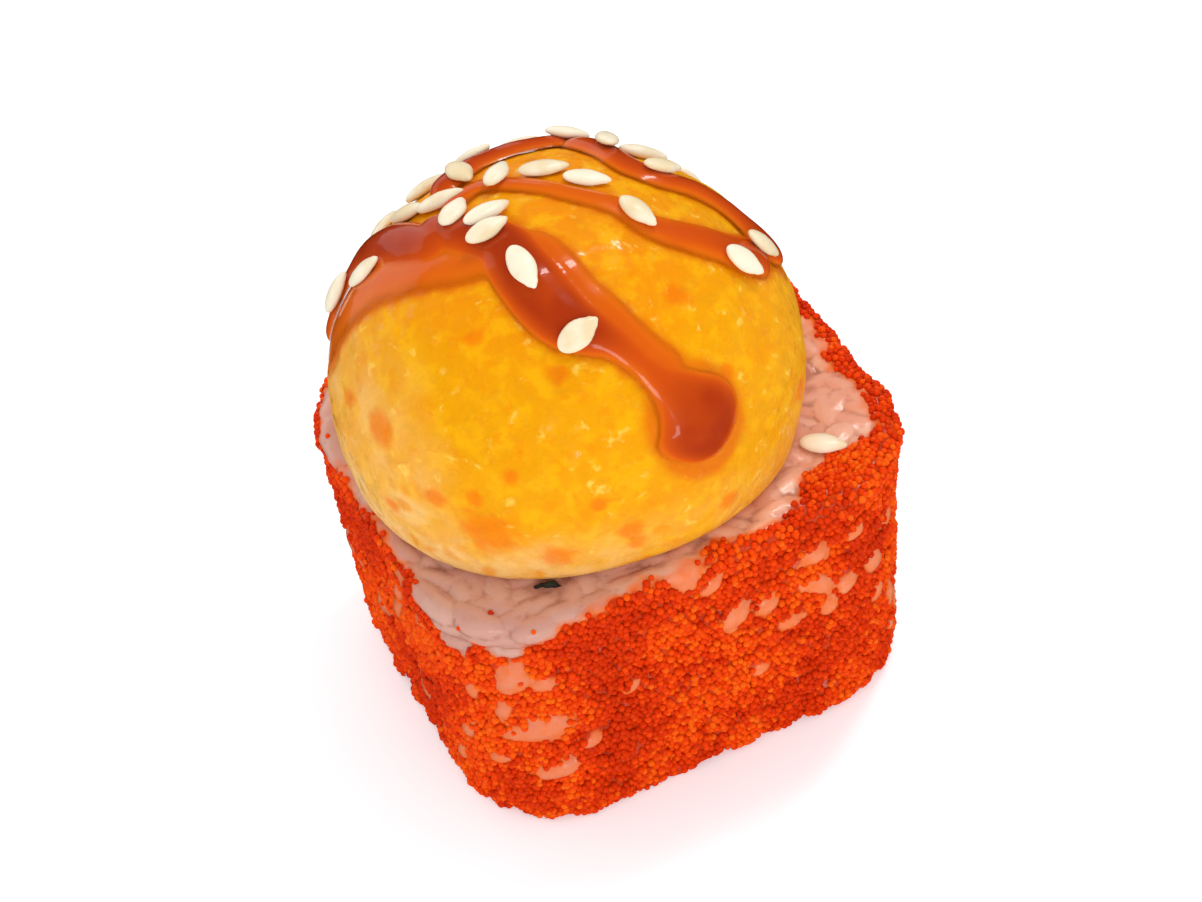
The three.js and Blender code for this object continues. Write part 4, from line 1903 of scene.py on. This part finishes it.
@dataclass
class Topping:
    """The dome of baked sauce with its drizzle and seeds."""

    form: DomeForm = field(default_factory=DomeForm)
    rice_level: float = SliceForm.height

    # The dome, and the specks and thin sauce that tint it.
    seat: float = 20.9 * MM
    lip: float = 1.1 * MM
    seat_blend: float = 1.5 * MM
    crumb: Wave = Wave(0.03 * MM, 0.8 * MM, 3.0)
    speck_waves: tuple[Wave, ...] = (Wave(0.45, 1.0 * MM, 6.0), Wave(0.25, 0.45 * MM, 7.0))
    speck_softness: float = 0.9
    film_margin: float = 0.5 * MM
    film_softness: float = 0.9 * MM

    # The drizzle.
    voxel: float = 0.15 * MM
    smoothing: int = 5
    streak_step: float = 0.3 * MM
    streak_samples: int = 200
    streak_crowding: float = 0.95
    streak_sides: int = 24
    streak_root: float = 0.8 * MM
    streak_end: float = 0.01 * MM

    # The seeds. The one on the rice has its own place and turn.
    seed: tuple[float, float, float] = (3.3 * MM, 1.7 * MM, 0.95 * MM)
    seed_sunk: float = 0.16 * MM
    drop_from: float = 4.0 * MM
    rice_seed: tuple[float, float, float] = (11.6 * MM, -10.7 * MM, -39.0)
    rice_seed_sunk: float = 0.1 * MM
    rice_seed_tone: float = 0.3
    random: np.random.Generator = field(default_factory=lambda: np.random.default_rng(11))

    def build(self) -> None:
        """Builds and dresses the dome, the drizzle and the seeds."""
        dome = self._dome()
        drizzle = self._drizzle()
        dress(dome, BakedSauceFinish().material(), "baked_sauce", "baked_topping")
        dress(drizzle, DrizzleFinish().material(), "drizzle", "baked_topping")
        seeds = self._seeds(surface_of([dome, drizzle]))
        dress(seeds, SesameFinish().material(), "sesame", "baked_topping")

    def _dome(self) -> bpy.types.Object:
        """Stretches a ball above and below, cuts it flat, lips it and makes it lumpy.

        Returns:
            The dome.
        """
        form = self.form
        body = ball("baked_dome", 80, 56, 1.0)
        body.pick(Pick.POINTS, lambda middle: middle.z > 1e-4).resize((1, 1, form.crown))
        body.pick(Pick.POINTS, lambda middle: middle.z < 0).resize((1, 1, form.drop))
        body.pick_all().resize((form.half_x, form.half_y, 1)).move(tuple(form.middle))
        body.cut(self.seat)
        body.pick(Pick.EDGES, lambda middle: middle.z < self.seat + 0.02 * MM).bevel(self.lip, 4)
        dome = body.close().modify("SUBSURF", levels=2, render_levels=2).object
        points = points_of(dome)
        points = form.middle + (points - form.middle) * form.swell(form.way_to(points))[:, None]
        move_points(dome, points)
        free = np.clip((points[:, 2] - self.seat) / self.seat_blend, 0, 1)
        lumps = form.relief(points) + self.crumb.at(points)
        points += normals_of(dome) * (lumps * free)[:, None]
        move_points(dome, points)
        dome.data.shade_smooth()
        add_numbers(dome, "film", self._film(points))
        add_numbers(dome, "speck", self._specks(points))
        return dome

    def _specks(self, points: Array) -> Array:
        """Tints the dome with orange specks.

        Args:
            points: points of the dome.

        Returns:
            How strong the tint is at each point, from 0 to 1.
        """
        bearings, tilts, widths = np.array(SPECKS, float).T
        ragged = sum((wave.at(points) for wave in self.speck_waves), start=1.0)
        tint = np.zeros(len(points))
        for middle, width in zip(self.form.point(self.form.way(bearings, tilts)), widths * MM):
            reach = np.linalg.norm(points - middle, axis=1) / (width / 2)
            tint = np.maximum(tint, (ragged - reach) / self.speck_softness + 0.5)
        return smooth(np.clip(tint, 0, 1))

    def _route(self, streak: Streak) -> tuple[Array, Array, Array]:
        """Follows a streak over the dome.

        Args:
            streak: the streak.

        Returns:
            Closely spaced directions along it, and its half widths and heights there.
        """
        course = np.array(streak.course)
        knots = self.form.way(course[:, 0], course[:, 1])
        samples = np.linspace(0, 1, self.streak_samples)
        rough = self.form.point(unit(curve_through(knots, samples)))
        length = np.linalg.norm(np.diff(rough, axis=0), axis=1).sum()
        even = np.linspace(0, 1, round(length / self.streak_step))
        crowd = self.streak_crowding * np.sin(2 * math.pi * even) / (2 * math.pi)
        shares = even - crowd
        way = unit(curve_through(knots, shares))
        half = curve_through(course[:, 2:3], shares)[:, 0] / 2 * MM
        height = curve_through(course[:, 3:4], shares)[:, 0] * MM
        run = np.linalg.norm(np.diff(self.form.point(way), axis=0), axis=1)
        along = np.concatenate([[0], np.cumsum(run)])
        from_end = np.minimum(along, along[-1] - along) + self.streak_end
        ease = np.sqrt(1 - (1 - np.clip(from_end / half, 0, 1)) ** 2)
        return way, half * ease, height * ease

    def _film(self, points: Array) -> Array:
        """Tints the dome with thin sauce under and beside the streaks.

        Args:
            points: points of the dome.

        Returns:
            How strong the tint is at each point, from 0 to 1.
        """
        film = np.zeros(len(points))
        for streak in DRIZZLE:
            way, half, _ = self._route(streak)
            for core, reach in zip(self.form.point(way)[::3], half[::3]):
                inside = reach + self.film_margin - np.linalg.norm(points - core, axis=1)
                film = np.maximum(film, inside / self.film_softness)
        return smooth(np.clip(film, 0, 1))

    def _drizzle(self) -> bpy.types.Object:
        """Sweeps the streaks of sauce over the dome, melts them together and smooths them.

        Returns:
            The drizzle.
        """
        points: list[Array] = []
        triangles: list[Array] = []
        count = 0
        for streak in DRIZZLE:
            tube = self._tube(*self._route(streak))
            rings = len(tube) // self.streak_sides
            points.append(tube)
            triangles.append(self._tube_triangles(rings, self.streak_sides) + count)
            count += len(tube)
        tubes = mesh_object("tubes", np.vstack(points), np.vstack(triangles))
        drizzle = pressed("drizzle_streaks", [tubes], self.voxel, self.smoothing)
        places = points_of(drizzle)
        add_numbers(drizzle, "depth", self.form.depth(places) - self.form.relief(places))
        return drizzle

    def _tube(self, way: Array, half: Array, height: Array) -> Array:
        """Rings of points round a streak, which lie on the dome's lumps.

        Args:
            way: directions along the streak.
            half: its half width at each.
            height: its height at each.

        Returns:
            The rings' points, then the streak's two ends.
        """
        form = self.form
        angle = np.linspace(0, 2 * math.pi, self.streak_sides, endpoint=False)
        core, normal = form.point(way), form.normal(way)
        across = unit(np.cross(normal, np.gradient(core, axis=0)))
        wide = half[:, None, None] * np.cos(angle)[None, :, None] * across[:, None]
        above = height[:, None] * np.sin(angle) ** 2
        below = -np.minimum(half, self.streak_root)[:, None] * np.abs(np.sin(angle))
        rise = np.where(np.sin(angle) >= 0, above, below)
        under = form.way_to((core[:, None] + wide).reshape(-1, 3))
        rings = form.point(under) + form.normal(under) * rise.reshape(-1, 1)
        tube = np.vstack([rings, core[:1], core[-1:]])
        return tube + form.normal_at(tube) * form.relief(tube)[:, None]

    @staticmethod
    def _tube_triangles(rings: int, sides: int) -> Array:
        """Joins a tube's rings, and closes its two ends on its last two points.

        Args:
            rings: how many rings it has.
            sides: how many points each ring has.

        Returns:
            Numbers of points, three in each row.
        """
        ring, side = np.meshgrid(np.arange(rings - 1), np.arange(sides), indexing="ij")
        here = ring * sides + side
        beside = ring * sides + (side + 1) % sides
        walls = np.concatenate([
            np.stack([here, beside, beside + sides], -1).reshape(-1, 3),
            np.stack([here, beside + sides, here + sides], -1).reshape(-1, 3),
        ])
        column = np.arange(sides)
        turned = (column + 1) % sides
        first, last = rings * sides, rings * sides + 1
        end = (rings - 1) * sides
        starts = np.stack([np.full(sides, first), turned, column], 1)
        stops = np.stack([np.full(sides, last), end + column, end + turned], 1)
        return np.concatenate([walls, starts, stops])

    @staticmethod
    def _seed_shape() -> bpy.types.Object:
        """Makes one sesame seed, one unit long, wide and thick: a flat teardrop.

        Returns:
            The seed.
        """
        seed = ball("seed_shape", 20, 14).turn(-math.pi / 2, "Y")
        for start, narrow in ((0.05, 0.95), (0.18, 0.9), (0.3, 0.84), (0.4, 0.78)):
            seed.pick(Pick.POINTS, lambda middle: middle.x > start).resize((1, narrow, 0.97))
        seed.pick(Pick.POINTS, lambda middle: middle.z < -0.2).resize((1, 1, 0.8))
        return seed.close().object

    def _seeds(self, surface: BVHTree) -> bpy.types.Object:
        """Lays the sesame seeds on the dome and its drizzle, and one on the rice.

        Args:
            surface: the dome and its drizzle.

        Returns:
            The seeds, as one piece.
        """
        shape, copies, form = self._seed_shape(), Copies(), self.form
        bearings, tilts, turns = np.array(DOME_SEEDS, float).T
        ways = form.way(bearings, tilts)
        for start, normal, turn in zip(form.point(ways), form.normal(ways), turns):
            spot, facing = drop(surface, start, normal, self.drop_from)
            up = unit(normal + 0.6 * facing)
            level = unit(np.array([1.0, 0.0, 0.0]) - normal * normal[0])
            side = np.cross(normal, level)
            angle = math.radians(turn)
            along = level * math.cos(angle) + side * math.sin(angle)
            size = np.array(self.seed) * self.random.uniform(0.92, 1.08, 3)
            place = spot + up * (size[2] / 2 - self.seed_sunk)
            copies.add(place, up, along, size, self.random.uniform(0, 1))
        x, y, turn = self.rice_seed
        angle = math.radians(turn)
        along = np.array([math.cos(angle), math.sin(angle), 0.0])
        place = np.array([x, y, self.rice_level + self.seed[2] / 2 - self.rice_seed_sunk])
        upright = np.array([0.0, 0.0, 1.0])
        copies.add(place, upright, along, np.array(self.seed), self.rice_seed_tone)
        seeds = copies.build("sesame_seeds", shape)
        bpy.data.objects.remove(shape)
        return seeds


# ------------------------------------------------------------------------------------------------
# The studio
# ------------------------------------------------------------------------------------------------


@dataclass(frozen=True)
class Lamp:
    """A soft rectangular light, which may show in glossy surfaces."""

    name: str
    place: tuple[float, float, float]
    size: tuple[float, float]
    power: float
    mirrored: bool

    def build(self, target: Vector) -> None:
        """Adds the light.

        Args:
            target: the point that it is aimed at.
        """
        data = bpy.data.lights.new(self.name, "AREA")
        data.shape = "RECTANGLE"
        data.size, data.size_y = self.size
        data.energy = self.power
        lamp = bpy.data.objects.new(self.name, data)
        lamp.location = self.place
        lamp.rotation_euler = (target - lamp.location).to_track_quat("-Z", "Y").to_euler()
        lamp.visible_glossy = self.mirrored
        bpy.context.scene.collection.objects.link(lamp)


@dataclass(frozen=True)
class Studio:
    """The pale floor, the soft light and the camera at the photograph's viewing angle."""

    eye: tuple[float, float, float] = (-53.2 * MM, -148.4 * MM, 171.1 * MM)
    target: tuple[float, float, float] = (-0.4 * MM, -0.2 * MM, 18.0 * MM)
    roll: float = -8.4
    lens: float = 95.0
    sensor: float = 36.0
    near_clip: float = 0.005
    floor: float = 0.8
    sky: Colour = (1.0, 0.99, 0.975, 1.0)
    daylight: float = 0.80
    lamps: tuple[Lamp, ...] = (
        Lamp("key_light", (0.15, 0.07, 0.36), (0.04, 0.16), 0.34, True),
        Lamp("window_light", (-0.28, 0.80, 0.26), (1.30, 0.60), 1.6, True),
        Lamp("glint_light", (-0.14, -0.43, 0.085), (0.09, 0.09), 0.14, True),
        Lamp("front_light", (-0.12, -0.42, 0.24), (0.36, 0.26), 0.60, False),
        Lamp("back_light", (0.10, 0.44, 0.20), (0.40, 0.30), 0.30, False),
    )

    def build(self) -> None:
        """Builds the floor, the lights and the camera."""
        self._floor()
        self._world()
        for lamp in self.lamps:
            lamp.build(Vector(self.target))
        self._camera()
        bpy.context.scene.view_settings.view_transform = "Standard"

    def _floor(self) -> None:
        """A wide pale table under the piece, which isn't mirrored in it."""
        begin()
        bpy.ops.mesh.primitive_grid_add(x_subdivisions=8, y_subdivisions=8, size=2 * self.floor)
        floor = Shaper("floor").close().object
        floor.data.materials.append(FloorFinish().material())
        floor.visible_glossy = False

    def _world(self) -> None:
        """Even daylight from all round, which glossy surfaces don't mirror."""
        world = bpy.data.worlds.new("daylight")
        world.use_nodes = True
        background = world.node_tree.nodes["Background"]
        background.inputs["Color"].default_value = self.sky
        background.inputs["Strength"].default_value = self.daylight
        world.cycles_visibility.glossy = False
        bpy.context.scene.world = world

    def _camera(self) -> None:
        """The camera, rolled as the photograph's is towards this piece."""
        data = bpy.data.cameras.new("camera")
        data.lens, data.sensor_width = self.lens, self.sensor
        data.clip_start = self.near_clip
        camera = bpy.data.objects.new("camera", data)
        back = Vector(self.eye) - Vector(self.target)
        turn = back.to_track_quat("Z", "Y") @ Quaternion((0, 0, 1), math.radians(self.roll))
        camera.location = self.eye
        camera.rotation_euler = turn.to_euler()
        bpy.context.scene.collection.objects.link(camera)
        bpy.context.scene.camera = camera


def dress_kept_nodes() -> None:
    """Gives the nori and the filling, which keep their solids, their materials."""
    finishes = {"nori": NoriFinish(), "filling": FillingFinish()}
    for node, finish in finishes.items():
        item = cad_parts[node]
        for place in item.material_slots:
            place.material = finish.material()


def main() -> None:
    """Builds every part of the piece and its studio, in order."""
    logging.basicConfig(level=logging.INFO, format="%(name)s: %(message)s")
    Studio().build()
    dress_kept_nodes()
    Slice().build()
    Topping().build()


if __name__ == "__main__":
    main()
